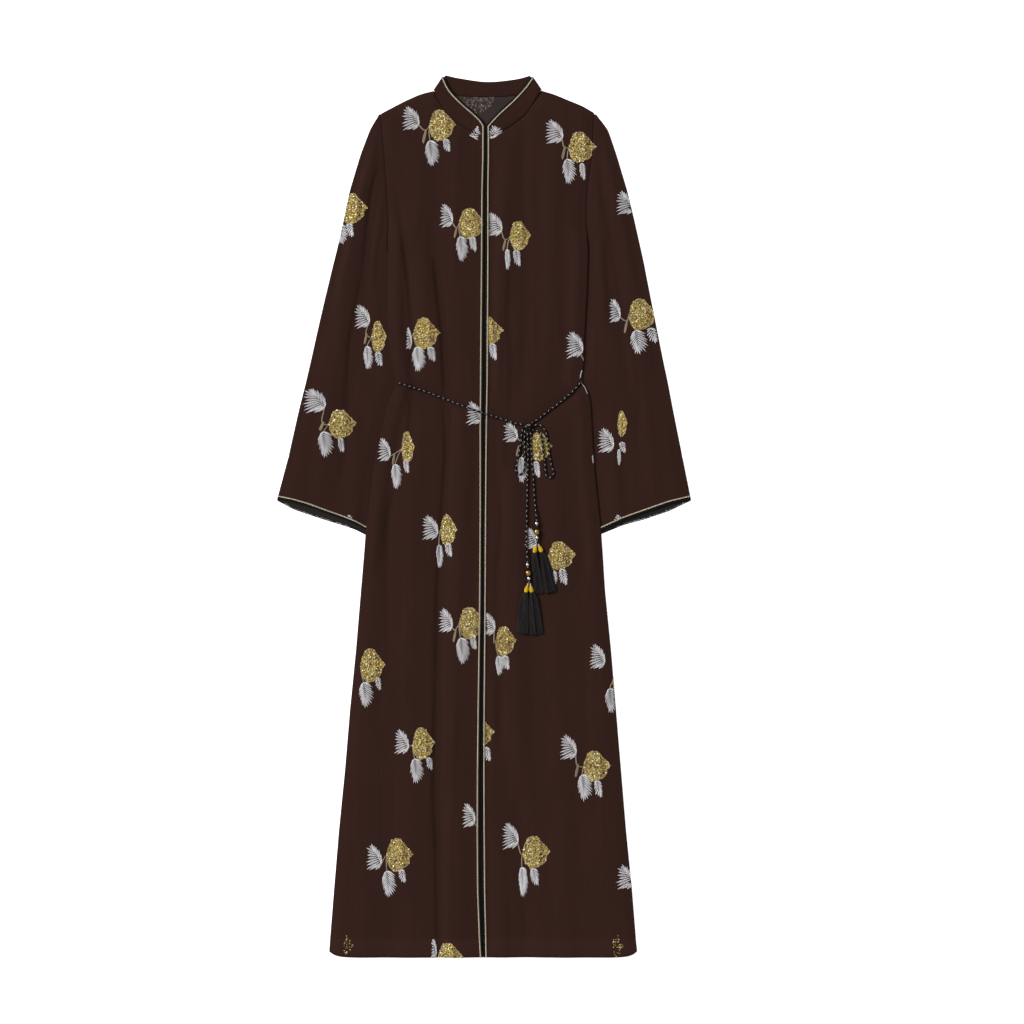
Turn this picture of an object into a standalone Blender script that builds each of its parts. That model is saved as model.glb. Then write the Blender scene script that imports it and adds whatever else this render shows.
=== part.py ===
"""A long open-front abaya with an embroidered look, laid flat on its back on a surface.

Units are metres, +Z is up and +Y points to the neck. The tables are in millimetres.
The back panel lies flat at z = 0, the sleeves are flattened tubes tucked under the body's
sides, and the two fronts lie on the back panel with soft lengthwise folds.
"""
import math

import bmesh
import bpy
from mathutils import Matrix, Vector
from mathutils.bvhtree import BVHTree

MM = 0.001

# cloth and seams, in millimetres
WALL = 1.2
SEAM = 0.4
REST_GAP = 0.35

# layers of the body
BODY_PUFF = 2.6
PLACKET_PUFF = 1.8
LEAST_GAP = 0.4
SIDE_ROLL = 18.0
SHOULDER_ROLL = 24.0
PLACKET_WIDTH = 9.0
PLACKET_FADE = 12.0
NECK_POINT_FADE = 20.0
SHOULDER_SHARES = (1.0, 0.7, 0.35)
FAR_FROM_EDGES = 200.0
BELT_PINCH = 0.7
BELT_PINCH_REACH = 13.0
SIDE_COLUMNS = (0.0, 5.0, 14.0, 24.0, 34.0)
FRONT_COLUMNS_BETWEEN = 13
LIFT = 3.3
LIFT_FULL_TO = 14.0
LIFT_FADES_OVER = 20.0
LIFT_TOP = 430.0
LIFT_LOW = -65.0
LIFT_LENGTH_FADE = 42.0
HEM_CORNER_RISE = 9.5
HEM_CORNER_REACH = 9.0

# sleeves
SLEEVE_EDGE_HEIGHT = 2.8
SLEEVE_PUFF = 1.7
SLEEVE_TIP = 3.5
SLEEVE_FLAT = 14.0
SLEEVE_OUTER_ROLL = 18.0
SLEEVE_INNER_ROLL = 20.0
SLEEVE_LEAST_RISE = 0.3
TUCK = 12.0
TUCK_FULL_BELOW = 385.0
ARMPIT = 425.9
SLEEVE_TOP_COLUMNS = 8
SLEEVE_FRONT_START = 6
CUFF_TRIM_CLEARANCE = 1.2

# collar
COLLAR_TOP = 4.2
COLLAR_FOLD_SHIFT = (2.6, 0.6)
COLLAR_BACK_INSET = 3.2
COLLAR_TIP_INSET = 0.3 * COLLAR_BACK_INSET
COLLAR_FOLD_TURNS = (35.0, 90.0, 145.0)
COLLAR_END_STEP = 8.0

# trimmings
EDGING_WIDTH = 2.2
EDGING_HEIGHT = 1.0
GOLD_WIDTH = 2.8
GOLD_HEIGHT = 1.5
GOLD_FROM_EDGE = 4.0
EDGING_FROM_EDGE = 1.2

# belt cord, beads and tassels
CORD_RADIUS = 1.6
CORD_STEP = 8.0
CORD_SLOPE = 0.25
CORD_FOOTPRINT = 1.15 * CORD_RADIUS
ROUTE_STEPS = 12
FINE_STEP = 2.0
RAY_TOP = 60.0
BEAD_REACH = 7.0
GOLD_BEAD_RADIUS = 4.6
SILVER_BEAD_RADIUS = 3.3
BEAD_BORE = 2.15
BEAD_RIM = 0.25
BEAD_HALF_LENGTHS = {"gold": 4.3, "silver": 2.4}
KNOT_CENTRE = (70.4, 143.5)
KNOT_HALF = (7.0, 7.0, 4.0)
CAP_TOP_RADIUS = 1.7
CAP_LOW_RADIUS = 3.3
STRAND_COLUMNS = 8
STRAND_LAYERS = 2
TASSEL_GAP = 0.9
TASSEL_HALF_THICKNESS = 1.9

# the body's outline, a row for each section: height, left side, middle of the opening,
# half the opening's gap, right side
BODY = (
    (577.9, -159.5, 2.8, 0.4, 172.8),
    (521.9, -155.2, 1.7, 0.7, 164.8),
    (473.9, -153.1, 1.5, 0.9, 163.2),
    (425.9, -153.6, 1.4, 1.0, 166.5),
    (361.9, -153.6, 1.0, 1.1, 164.8),
    (293.1, -152.8, 0.5, 1.2, 160.8),
    (249.9, -148.8, 0.2, 1.2, 159.9),
    (214.7, -139.2, 0.0, 1.2, 155.6),
    (198.7, -145.6, -0.2, 1.1, 167.0),
    (179.5, -153.6, -0.5, 1.0, 170.6),
    (147.5, -161.0, -0.9, 0.9, 172.3),
    (110.7, -170.1, -1.1, 0.7, 174.5),
    (73.9, -177.0, -1.3, 0.5, 177.0),
    (9.9, -184.0, -1.5, 0.3, 183.5),
    (-22.1, -188.8, -1.7, 0.3, 187.2),
    (-62.1, -191.8, -1.9, 0.3, 190.0),
    (-118.1, -196.8, -2.2, 0.3, 193.6),
    (-214.1, -204.8, -3.2, 0.5, 203.2),
    (-310.1, -214.4, -4.3, 0.8, 211.2),
    (-406.1, -222.4, -5.0, 1.2, 219.2),
    (-502.1, -232.0, -5.0, 1.5, 227.2),
    (-598.1, -240.0, -4.3, 1.6, 236.8),
    (-678.1, -246.4, -1.9, 1.0, 243.2),
    (-705.3, -247.6, -0.9, 0.4, 245.0),
)
HEIGHT, LEFT, MIDDLE, HALF_GAP, RIGHT = range(5)

# top edges of the fronts, from the shoulder's tip to the neck point and along the neck seam
SHOULDER = {
    "left": ((-164.8, 643.5), (-142.4, 655.5), (-123.2, 665.1), (-100.8, 674.7), (-80.8, 679.8)),
    "right": ((176.0, 645.0), (156.8, 656.0), (132.8, 666.0), (110.4, 675.0), (91.5, 680.5)),
}
NECK_SEAM = {
    "left": ((-73.6, 666.2), (-59.2, 643.7), (-44.8, 630.7), (-28.8, 619.8), (-10.0, 611.0), (2.5, 605.0)),
    "right": ((83.2, 666.2), (68.8, 643.7), (54.1, 630.7), (38.2, 619.8), (20.0, 611.0), (3.1, 605.0)),
}
BACK_NECK = ((-35.0, 671.5), (5.0, 669.9), (45.0, 671.5))

# free edge of the collar's fronts, from the fold at the shoulder to the opening
COLLAR_EDGE = {
    "left": ((-63.0, 701.8), (-52.7, 681.8), (-33.2, 661.1), (-14.9, 645.3), (-3.8, 634.2), (2.5, 624.5)),
    "right": ((74.9, 702.4), (63.0, 686.0), (44.7, 666.3), (24.9, 648.0), (11.3, 634.2), (3.1, 624.5)),
}
COLLAR_FOLD = {
    "left": ((-81.0, 681.3), (-66.5, 703.2)),
    "right": ((92.5, 682.0), (78.3, 702.8)),
}
COLLAR_BACK_TOP = ((-62.0, 705.3), (-38.4, 700.3), (5.0, 694.7), (49.6, 698.7), (74.0, 704.6))

# outer edge of the sleeves: height, left, right
SLEEVES = (
    (637.5, -171.2, 183.6),
    (617.9, -182.4, 198.4),
    (577.9, -197.6, 212.0),
    (545.0, -207.5, 221.8),
    (521.9, -214.4, 228.8),
    (473.9, -224.4, 240.4),
    (425.9, -235.2, 251.2),
    (404.0, -240.8, 256.0),
    (385.0, -245.4, 259.6),
    (345.0, -255.1, 267.4),
    (293.1, -267.0, 277.8),
    (249.9, -276.6, 286.4),
    (214.7, -284.7, 293.9),
    (170.0, -296.0, 302.4),
    (130.0, -305.0, 310.4),
    (95.0, -312.8, 317.4),
)
# cuffs: place along the cuff, height of the front layer's edge and of the back layer's edge
CUFFS = {
    "left": (
        (-331.2, 28.4, 25.0),
        (-305.6, 23.3, 11.0),
        (-278.7, 15.3, 1.6),
        (-252.3, 5.4, -6.9),
        (-225.6, -3.9, -15.0),
        (-205.8, -11.9, -21.6),
        (-188.8, -21.8, -30.5),
        (-174.0, -28.4, -36.0),
    ),
    "right": (
        (331.2, 28.4, 25.0),
        (295.7, 20.0, 7.8),
        (254.4, 5.4, -5.9),
        (222.7, -5.8, -14.4),
        (187.5, -22.1, -28.8),
        (172.0, -28.4, -35.0),
    ),
}

# lengthwise folds: panel, top place, middle place, low place, half width, height of the crest
FOLDS = (
    ("front_left", (-147.0, 546.0), (-131.0, 408.0), (-117.0, 226.0), 10.0, -1.6),
    ("front_left", (-104.0, 560.0), (-102.0, 400.0), (-92.0, 250.0), 16.0, 2.4),
    ("front_left", (-83.0, 440.0), (-70.0, 310.0), (-61.0, 170.0), 10.0, -2.0),
    ("front_left", (-40.0, 590.0), (-46.0, 400.0), (-36.0, 240.0), 15.0, 1.8),
    ("front_left", (-61.0, 160.0), (-77.0, -262.0), (-74.0, -760.0), 12.0, -2.2),
    ("front_left", (-36.0, 150.0), (-48.0, -262.0), (-44.0, -760.0), 17.0, 3.0),
    ("front_left", (-110.0, 120.0), (-116.0, -262.0), (-122.0, -760.0), 20.0, 2.2),
    ("front_left", (-152.0, 10.0), (-160.0, -166.0), (-172.0, -300.0), 12.0, -1.5),
    ("front_left", (-180.0, -280.0), (-186.0, -500.0), (-196.0, -760.0), 20.0, 1.8),
    ("front_right", (62.0, 590.0), (70.0, 340.0), (62.0, 225.0), 10.0, -1.6),
    ("front_right", (38.0, 560.0), (26.0, 400.0), (22.0, 230.0), 13.0, 2.0),
    ("front_right", (112.0, 590.0), (106.0, 400.0), (98.0, 250.0), 18.0, 2.4),
    ("front_right", (20.0, 130.0), (21.0, -60.0), (27.0, -330.0), 10.0, -1.6),
    ("front_right", (46.0, 40.0), (52.0, -200.0), (58.0, -420.0), 16.0, 2.6),
    ("front_right", (54.0, -430.0), (62.0, -600.0), (74.0, -760.0), 15.0, -1.8),
    ("front_right", (112.0, 120.0), (122.0, -260.0), (132.0, -760.0), 20.0, 2.4),
    ("front_right", (176.0, -180.0), (184.0, -420.0), (196.0, -760.0), 20.0, 1.6),
    ("sleeve_left", (-163.0, 580.0), (-193.6, 408.0), (-228.0, 100.0), 9.0, -1.5),
    ("sleeve_left", (-190.0, 560.0), (-219.0, 400.0), (-262.0, 60.0), 14.0, 2.2),
    ("sleeve_left", (-210.0, 150.0), (-206.0, 80.0), (-204.0, -60.0), 12.0, 1.4),
    ("sleeve_right", (183.0, 580.0), (205.0, 370.0), (247.0, 150.0), 9.0, -1.5),
    ("sleeve_right", (208.0, 560.0), (232.0, 380.0), (272.0, 60.0), 14.0, 2.2),
    ("sleeve_right", (194.0, 330.0), (202.0, 200.0), (212.0, 20.0), 12.0, 1.4),
)
FOLD_FADE = 60.0

# belt stretches, each from its own outer end; bow loops and tails start at the knot
BELT = {
    "belt_front_left": ((-138.6, 213.6), (-93.1, 199.0), (-58.6, 185.9), (-26.7, 173.8), (0.0, 164.5),
                        (33.4, 153.9), (52.0, 148.2), (62.4, 146.4)),
    "belt_front_right": ((154.8, 214.6), (142.2, 200.3), (121.0, 181.8), (105.1, 169.9), (86.4, 155.4),
                         (76.9, 149.2)),
    "bow_loop_left": ((62.5, 141.2), (60.4, 134.0), (59.2, 121.0), (57.0, 106.0), (53.2, 89.0),
                      (50.6, 76.0), (51.8, 69.6), (56.4, 66.6), (61.6, 68.6), (64.4, 75.0), (65.2, 88.0),
                      (65.0, 104.0), (64.4, 120.0), (64.6, 131.0), (65.4, 136.9)),
    "bow_loop_right": ((78.7, 144.6), (85.6, 146.2), (92.4, 143.8), (97.4, 137.0), (100.6, 127.0),
                       (103.2, 112.0), (104.8, 97.0), (107.6, 81.0), (110.2, 68.0), (108.2, 62.0),
                       (103.8, 62.0), (101.2, 68.0), (98.4, 80.0), (95.6, 94.0), (94.4, 108.0),
                       (93.2, 121.0), (89.8, 131.4), (83.6, 137.2), (77.3, 138.2)),
    "belt_tail_left": ((68.9, 135.6), (69.9, 120.0), (70.4, 106.0), (70.0, 80.0), (69.5, 58.0),
                       (68.6, 20.0), (68.3, -6.0), (68.5, -46.0), (69.2, -74.0), (70.6, -90.9),
                       (71.6, -100.5), (72.1, -106.2)),
    "belt_tail_right": ((73.9, 136.2), (75.2, 124.0), (75.8, 106.0), (77.0, 80.0), (78.8, 58.0),
                        (81.0, 24.0), (83.6, -2.0), (84.2, -10.9), (84.3, -25.3), (84.5, -36.5),
                        (85.0, -43.0)),
}
# beads on each tail: silver, gold, silver
BEADS = {
    "left": ((69.4, -77.5), (70.6, -90.9), (71.5, -99.7)),
    "right": ((84.2, -11.9), (84.3, -25.3), (84.45, -34.4)),
}
# caps and tassels: top of the cap, its low end, end of the tassel, half width there
TASSELS = {
    "left_a": ((70.4, -107.4), (66.9, -121.0), (61.8, -188.5), 9.2),
    "left_b": ((73.9, -107.4), (76.2, -121.0), (83.2, -190.0), 10.6),
    "right_a": ((83.2, -44.4), (80.9, -57.6), (88.6, -124.0), 7.2),
    "right_b": ((86.9, -44.2), (92.0, -56.6), (106.4, -122.9), 10.2),
}

CLOTH_COLOUR = (0.036, 0.016, 0.012)
EDGING_COLOUR = (0.004, 0.004, 0.005)
GOLD_COLOUR = (0.62, 0.50, 0.26)
SILVER_COLOUR = (0.60, 0.60, 0.62)
BELT_COLOUR = (0.05, 0.045, 0.04)
TASSEL_COLOUR = (0.02, 0.018, 0.017)
CAP_COLOUR = (0.68, 0.50, 0.01)


def clear_scene():
    for old in list(bpy.data.objects):
        bpy.data.objects.remove(old, do_unlink=True)


def make_collection(name):
    collection = bpy.data.collections.new(name)
    bpy.context.scene.collection.children.link(collection)
    return collection


def material(name, colour, roughness, metallic=0.0):
    made = bpy.data.materials.new(name)
    made.use_nodes = True
    shader = made.node_tree.nodes["Principled BSDF"]
    shader.inputs["Base Color"].default_value = (*colour, 1.0)
    shader.inputs["Roughness"].default_value = roughness
    shader.inputs["Metallic"].default_value = metallic
    return made


def smooth(value):
    """0 below 0, 1 above 1, with a soft S between."""
    value = min(max(value, 0.0), 1.0)
    return value * value * (3.0 - 2.0 * value)


def mix(first, second, share):
    return first + (second - first) * share


def read_table(table, key, column):
    """The value in a column at a key of the first column, on straight lines between the rows."""
    rising = sorted(table)
    if key <= rising[0][0]:
        return rising[0][column]
    for low, high in zip(rising, rising[1:]):
        if key <= high[0]:
            return mix(low[column], high[column], (key - low[0]) / (high[0] - low[0]))
    return rising[-1][column]


def along(points, share):
    """The point at a share of a polyline's length."""
    steps = [math.dist(a, b) for a, b in zip(points, points[1:])]
    left = share * sum(steps)
    for start, end, step in zip(points, points[1:], steps):
        if left <= step or end is points[-1]:
            part = min(left / step, 1.0)
            return tuple(mix(a, b, part) for a, b in zip(start, end))
        left -= step
    return points[-1]


def fold_height(panel, x, y):
    """Height that the lengthwise folds of a panel add at a place."""
    total = 0.0
    for name, top, middle, low, half_width, crest in FOLDS:
        if name != panel or y > top[1] + FOLD_FADE or y < low[1] - FOLD_FADE:
            continue
        if y > middle[1]:
            line = mix(middle[0], top[0], min((y - middle[1]) / (top[1] - middle[1]), 1.0))
        else:
            line = mix(middle[0], low[0], min((middle[1] - y) / (middle[1] - low[1]), 1.0))
        fade = smooth((top[1] + FOLD_FADE - y) / FOLD_FADE) * smooth((y - low[1] + FOLD_FADE) / FOLD_FADE)
        total += crest * fade * math.exp(-(((x - line) / half_width) ** 2))
    return total


def belt_pinch(x, y):
    """1 on the belt's line and 0 away from it."""
    left = BELT["belt_front_left"]
    right = BELT["belt_front_right"]
    line = sorted(left + right)
    return math.exp(-(((y - read_table(line, x, 1)) / BELT_PINCH_REACH) ** 2))


def side_column(side):
    return LEFT if side == "left" else RIGHT


def outward(side):
    return -1.0 if side == "left" else 1.0


def body_side(side, y):
    rows = ((SHOULDER[side][0][1], *(SHOULDER[side][0][0],) * 4),) + BODY
    return read_table(rows, y, side_column(side))


def opening_edge(side, y):
    return read_table(BODY, y, MIDDLE) + outward(side) * read_table(BODY, y, HALF_GAP)


def back_lift(side_distance, y):
    """Height of the back panel's underside: its sides lie over the sleeves below the armpits."""
    lengthwise = smooth((LIFT_TOP + LIFT_LENGTH_FADE - y) / LIFT_LENGTH_FADE)
    lengthwise *= smooth((y - LIFT_LOW + LIFT_LENGTH_FADE) / LIFT_LENGTH_FADE)
    return LIFT * lengthwise * (1.0 - smooth((side_distance - LIFT_FULL_TO) / LIFT_FADES_OVER))


def front_top_line(side):
    return SHOULDER[side] + NECK_SEAM[side]


def front_gap(side, x, y, side_distance, top_distance):
    """Room between the back panel's top and a front's underside."""
    edge_distance = abs(opening_edge(side, y) - x)
    away = smooth((edge_distance - PLACKET_WIDTH) / PLACKET_FADE)
    folded = BODY_PUFF + fold_height("front_" + side, x, y)
    full = mix(PLACKET_PUFF, max(folded, LEAST_GAP), away)
    full *= 1.0 - BELT_PINCH * belt_pinch(x, y) * away
    neck_point = SHOULDER[side][-1][0]
    past_neck_point = smooth(outward(side) * (neck_point - x) / NECK_POINT_FADE)
    at_top = mix(LEAST_GAP, PLACKET_PUFF, past_neck_point)
    full = mix(at_top, full, smooth(top_distance / SHOULDER_ROLL))
    return mix(LEAST_GAP, full, smooth(side_distance / SIDE_ROLL))


def hem_height(side_distance):
    """The hem's corners are a little rounded."""
    return BODY[-1][HEIGHT] + HEM_CORNER_RISE * math.exp(-side_distance / HEM_CORNER_REACH)


def front_columns(width):
    """Distances of a front's columns from its side edge."""
    start = SIDE_COLUMNS[-1]
    end = width - PLACKET_WIDTH
    count = FRONT_COLUMNS_BETWEEN + 1
    between = [mix(start, end, (n + 1) / count) for n in range(count)]
    return [*SIDE_COLUMNS, *between, width]


def front_grid(side):
    """Rows of points on the underside of a front, from the shoulder and neck to the hem."""
    line = front_top_line(side)
    inward = -outward(side)
    first = BODY[0]
    first_side = first[side_column(side)]
    low_columns = front_columns(abs(opening_edge(side, first[HEIGHT]) - first_side))
    top_columns = front_columns(abs(line[-1][0] - line[0][0]))
    neck_distance = abs(SHOULDER[side][-1][0] - line[0][0])
    nearest = min(range(len(top_columns)), key=lambda n: abs(top_columns[n] - neck_distance))
    top_columns[nearest] = neck_distance
    rows = []
    for share in SHOULDER_SHARES:
        row = []
        for low, top in zip(low_columns, top_columns):
            top_x = line[0][0] + inward * top
            top_y = read_table(line, top_x, 1)
            x = mix(first_side + inward * low, top_x, share)
            y = mix(first[HEIGHT], top_y, share)
            gap = front_gap(side, x, y, mix(low, top, share), top_y - y)
            row.append((x, y, WALL + gap))
        rows.append(row)
    for section in BODY:
        height = section[HEIGHT]
        start = section[side_column(side)]
        row = []
        for distance in front_columns(abs(opening_edge(side, height) - start)):
            x = start + inward * distance
            y = hem_height(distance) if section is BODY[-1] else height
            top = FAR_FROM_EDGES if height < first[HEIGHT] else read_table(line, x, 1) - y
            gap = front_gap(side, x, height, distance, top)
            row.append((x, y, back_lift(distance, height) + WALL + gap))
        rows.append(row)
    return rows


def back_grid():
    """Rows of points on the underside of the back panel."""
    left_top = SHOULDER["left"]
    right_top = SHOULDER["right"]
    top = [(left_top[0][0] + d, read_table(left_top, left_top[0][0] + d, 1)) for d in SIDE_COLUMNS]
    top += [left_top[-1], *BACK_NECK, right_top[-1]]
    right_tip = right_top[0][0]
    top += [(right_tip - d, read_table(right_top, right_tip - d, 1)) for d in reversed(SIDE_COLUMNS)]
    inner = len(BACK_NECK) + 2
    sections = []
    for section in BODY:
        left, right, height = section[LEFT], section[RIGHT], section[HEIGHT]
        row = []
        for distance in SIDE_COLUMNS:
            row.append((left + distance, distance))
        for n in range(inner):
            share = (n + 1) / (inner + 1)
            row.append((mix(left + SIDE_COLUMNS[-1], right - SIDE_COLUMNS[-1], share), FAR_FROM_EDGES))
        for distance in reversed(SIDE_COLUMNS):
            row.append((right - distance, distance))
        last = section is BODY[-1]
        sections.append([(x, hem_height(d) if last else height, back_lift(d, height)) for x, d in row])
    upper = []
    for share in SHOULDER_SHARES:
        upper.append([
            (mix(low[0], high[0], share), mix(low[1], high[1], share), 0.0)
            for low, high in zip(sections[0], top)
        ])
    return upper + sections


def sleeve_inner(side, y):
    """Inner edge of a sleeve: beside the armhole seam, then tucked under the body's side."""
    edge = body_side(side, y)
    if y >= ARMPIT:
        return edge + outward(side) * SEAM
    tucked = min((ARMPIT - y) / (ARMPIT - TUCK_FULL_BELOW), 1.0)
    return edge + outward(side) * mix(SEAM, -TUCK, tucked)


def sleeve_height(side, x, y, from_outer, from_inner):
    """Height of the sleeve's top above the floor."""
    hidden = 0.0 if y >= ARMPIT else SLEEVE_FLAT
    roll = smooth((from_outer - SLEEVE_TIP) / SLEEVE_OUTER_ROLL)
    roll *= smooth((from_inner - hidden) / SLEEVE_INNER_ROLL)
    edge = SLEEVE_EDGE_HEIGHT if y < ARMPIT else WALL * 2.0 + LEAST_GAP
    return edge + roll * max(SLEEVE_PUFF + fold_height("sleeve_" + side, x, y), SLEEVE_LEAST_RISE)


def sleeve_ring(side, y, outer_x, inner_x, cuff_share):
    """One section: the back layer from inside out, the outer fold, and the front layer back in."""
    width = abs(outer_x - inner_x)
    inward = -outward(side)
    joined = y < ARMPIT
    tip = min(SLEEVE_TIP, 0.1 * width)
    flat = min(SLEEVE_FLAT, 0.25 * width)
    last = width - tip if joined else width
    spread = [mix(tip, width - flat, n / SLEEVE_TOP_COLUMNS) for n in range(SLEEVE_TOP_COLUMNS + 1)]
    spread.insert(1, mix(spread[0], spread[1], 0.4))
    upper = [*spread, last]
    lower = [last, width - flat, 0.5 * width, 0.2 * width, tip]

    def place(distance, layer):
        x = outer_x + inward * distance
        if not cuff_share:
            return x, y
        cuff_x = mix(CUFFS[side][0][0], CUFFS[side][-1][0], distance / width)
        cuff_y = read_table(CUFFS[side], cuff_x, layer)
        return mix(x, cuff_x, cuff_share), mix(y, cuff_y, cuff_share)

    ring = [(*place(distance, 2), 0.0) for distance in lower]
    half = SLEEVE_EDGE_HEIGHT / 2.0
    tip_x, front_y = place(0.0, 1)
    back_y = place(0.0, 2)[1]
    ring.append((tip_x, (front_y + back_y) / 2.0, half))
    for distance in upper:
        x, top_y = place(distance, 1)
        section_y = top_y if cuff_share else y
        ring.append((x, top_y, sleeve_height(side, x, section_y, distance, width - distance)))
    if joined:
        inner_x_now, front_y = place(width, 1)
        back_y = place(width, 2)[1]
        ring.append((inner_x_now, (front_y + back_y) / 2.0, half))
    return ring, joined


def sleeve_rings(side):
    column = 1 if side == "left" else 2
    rings = []
    for row in SLEEVES:
        rings.append(sleeve_ring(side, row[0], row[column], sleeve_inner(side, row[0]), 0.0))
    last = SLEEVES[-1]
    for share in (0.5, 1.0):
        rings.append(sleeve_ring(side, last[0], last[column], sleeve_inner(side, last[0]), share))
    return rings


def finish_wall(name, mesh, collection, look, offset, thickness=WALL):
    """An open surface given its wall: offset 1 grows along the faces' normals, -1 against them."""
    wall = bpy.data.objects.new(name, mesh)
    mesh.materials.append(look)
    collection.objects.link(wall)
    solid = wall.modifiers.new("wall", "SOLIDIFY")
    solid.thickness = thickness * MM
    solid.offset = offset
    mesh.shade_smooth()
    mesh.set_sharp_from_angle(angle=math.radians(50))
    return wall


def grid_surface(name, rows, facing_up=True):
    """A mesh of quads through rows of points."""
    shape = bmesh.new()
    points = [[shape.verts.new(Vector(p) * MM) for p in row] for row in rows]
    for upper, lower in zip(points, points[1:]):
        for n in range(len(upper) - 1):
            shape.faces.new((upper[n], lower[n], lower[n + 1], upper[n + 1]))
    shape.normal_update()
    lean = sum(face.normal.z * face.calc_area() for face in shape.faces)
    if (lean > 0.0) != facing_up:
        bmesh.ops.reverse_faces(shape, faces=shape.faces)
    mesh = bpy.data.meshes.new(name)
    shape.to_mesh(mesh)
    shape.free()
    return mesh


def sleeve_surface(name, side):
    """The sleeve's outer surface: open at the cuff, and along the armhole above the armpit."""
    shape = bmesh.new()
    rings = []
    for ring, joined in sleeve_rings(side):
        rings.append(([shape.verts.new(Vector(p) * MM) for p in ring], joined))
    for (upper, upper_joined), (lower, lower_joined) in zip(rings, rings[1:]):
        shared = min(len(upper), len(lower))
        for n in range(shared - 1):
            shape.faces.new((upper[n], lower[n], lower[n + 1], upper[n + 1]))
        if upper_joined and lower_joined:
            shape.faces.new((upper[-1], lower[-1], lower[0], upper[0]))
    shape.normal_update()
    lowest = min(shape.faces, key=lambda face: face.calc_center_median().z)
    if lowest.normal.z > 0.0:
        bmesh.ops.reverse_faces(shape, faces=shape.faces)
    mesh = bpy.data.meshes.new(name)
    shape.to_mesh(mesh)
    shape.free()
    return mesh


def collar_stations(fronts):
    """Pairs of seam and free-edge points of the whole band's outer face, from left end to right."""
    halves = {}
    for side in ("left", "right"):
        top_row = fronts[side][0]
        neck_x = SHOULDER[side][-1][0]
        seam = [p for p in top_row if outward(side) * (neck_x - p[0]) >= -0.01]
        stations = []
        for n, point in enumerate(seam):
            share = 1.0 - n / (len(seam) - 1)
            edge = along(tuple(reversed(COLLAR_EDGE[side])), share)
            start = Vector((point[0], point[1]))
            towards = Vector(edge) - start
            start += towards.normalized() * SEAM
            if n == 0:
                start += Vector((-outward(side) * COLLAR_FOLD_SHIFT[0], COLLAR_FOLD_SHIFT[1]))
            stations.append(((*start, COLLAR_TOP), (*edge, COLLAR_TOP)))
        fold_base, fold_tip = (Vector(p) for p in COLLAR_FOLD[side])
        line = fold_tip - fold_base
        normal = Vector((line.y, -line.x)).normalized()
        if normal.x * outward(side) < 0.0:
            normal = -normal
        radius = COLLAR_TOP / 2.0
        fold = []
        for turn in COLLAR_FOLD_TURNS:
            angle = math.radians(turn)
            out = (math.sin(angle) - 1.0) * radius
            height = radius + radius * math.cos(angle)
            base = fold_base + normal * out
            tip = fold_tip + normal * out
            fold.append(((*base, height), (*tip, height)))
        halves[side] = (stations, fold)
    back = []
    seam_points = [SHOULDER["left"][-1], *BACK_NECK, SHOULDER["right"][-1]]
    for n, (seam, top) in enumerate(zip(seam_points, COLLAR_BACK_TOP)):
        way = {0: 1.0, len(seam_points) - 1: -1.0}.get(n, 0.0)
        base = (seam[0] + way * COLLAR_BACK_INSET, seam[1] + SEAM, 0.0)
        back.append((base, (top[0] + way * COLLAR_TIP_INSET, top[1], 0.0)))
    left_stations, left_fold = halves["left"]
    right_stations, right_fold = halves["right"]
    return [*reversed(left_stations), *left_fold, *back, *reversed(right_fold), *right_stations], halves


def make_collar(fronts, collection, look):
    stations, halves = collar_stations(fronts)
    rows = []
    for share in (0.0, 0.5, 1.0):
        rows.append([tuple(mix(a, b, share) for a, b in zip(seam, edge)) for seam, edge in stations])
    mesh = grid_surface("collar", rows)
    finish_wall("collar", mesh, collection, look, -1.0)
    return halves


def ribbon(name, stations, centre, profile, collection, look):
    """A trimming made from edge points moved out: each station is an edge point and the way inward."""
    shape = bmesh.new()
    rings = []
    for point, inward in stations:
        base = Vector(point)
        across = Vector((inward[0], inward[1], 0.0))
        rings.append([
            shape.verts.new((base + across * (centre + side) + Vector((0.0, 0.0, REST_GAP + up))) * MM)
            for side, up in profile
        ])
    count = len(profile)
    for first, second in zip(rings, rings[1:]):
        for n in range(count):
            shape.faces.new((first[n], first[(n + 1) % count], second[(n + 1) % count], second[n]))
    shape.faces.new(rings[0])
    shape.faces.new(rings[-1])
    bmesh.ops.recalc_face_normals(shape, faces=shape.faces)
    mesh = bpy.data.meshes.new(name)
    shape.to_mesh(mesh)
    shape.free()
    mesh.materials.append(look)
    mesh.shade_smooth()
    mesh.set_sharp_from_angle(angle=math.radians(50))
    made = bpy.data.objects.new(name, mesh)
    collection.objects.link(made)
    return made


def edging_profile():
    half = EDGING_WIDTH / 2.0
    return ((-half, 0.0), (half, 0.0), (half, EDGING_HEIGHT), (-half, EDGING_HEIGHT))


def gold_profile():
    half = GOLD_WIDTH / 2.0
    low = GOLD_HEIGHT * 0.35
    return ((-half, low), (-half * 0.6, 0.0), (half * 0.6, 0.0), (half, low),
            (half * 0.45, GOLD_HEIGHT), (-half * 0.45, GOLD_HEIGHT))


def front_trim_stations(side, front, collar_half):
    """Edge points along the collar's free edge, down its short end and the front, to the hem."""
    stations = []
    for seam, edge in collar_half:
        inward = Vector(seam[:2]) - Vector(edge[:2])
        inward.normalize()
        stations.append((edge, inward))
    inward_x = Vector((outward(side), 0.0))
    corner = COLLAR_EDGE[side][-1]
    corner_inward = (stations[-1][1] * 0.3 + inward_x).normalized()
    stations = stations[:-2]
    stations.append(((*corner, COLLAR_TOP), corner_inward))
    stations.append(((corner[0], corner[1] - COLLAR_END_STEP, COLLAR_TOP), inward_x))
    for row in front[1:]:
        x, y, under = row[-1]
        stations.append(((x, y, under + WALL), inward_x))
    return stations


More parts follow.
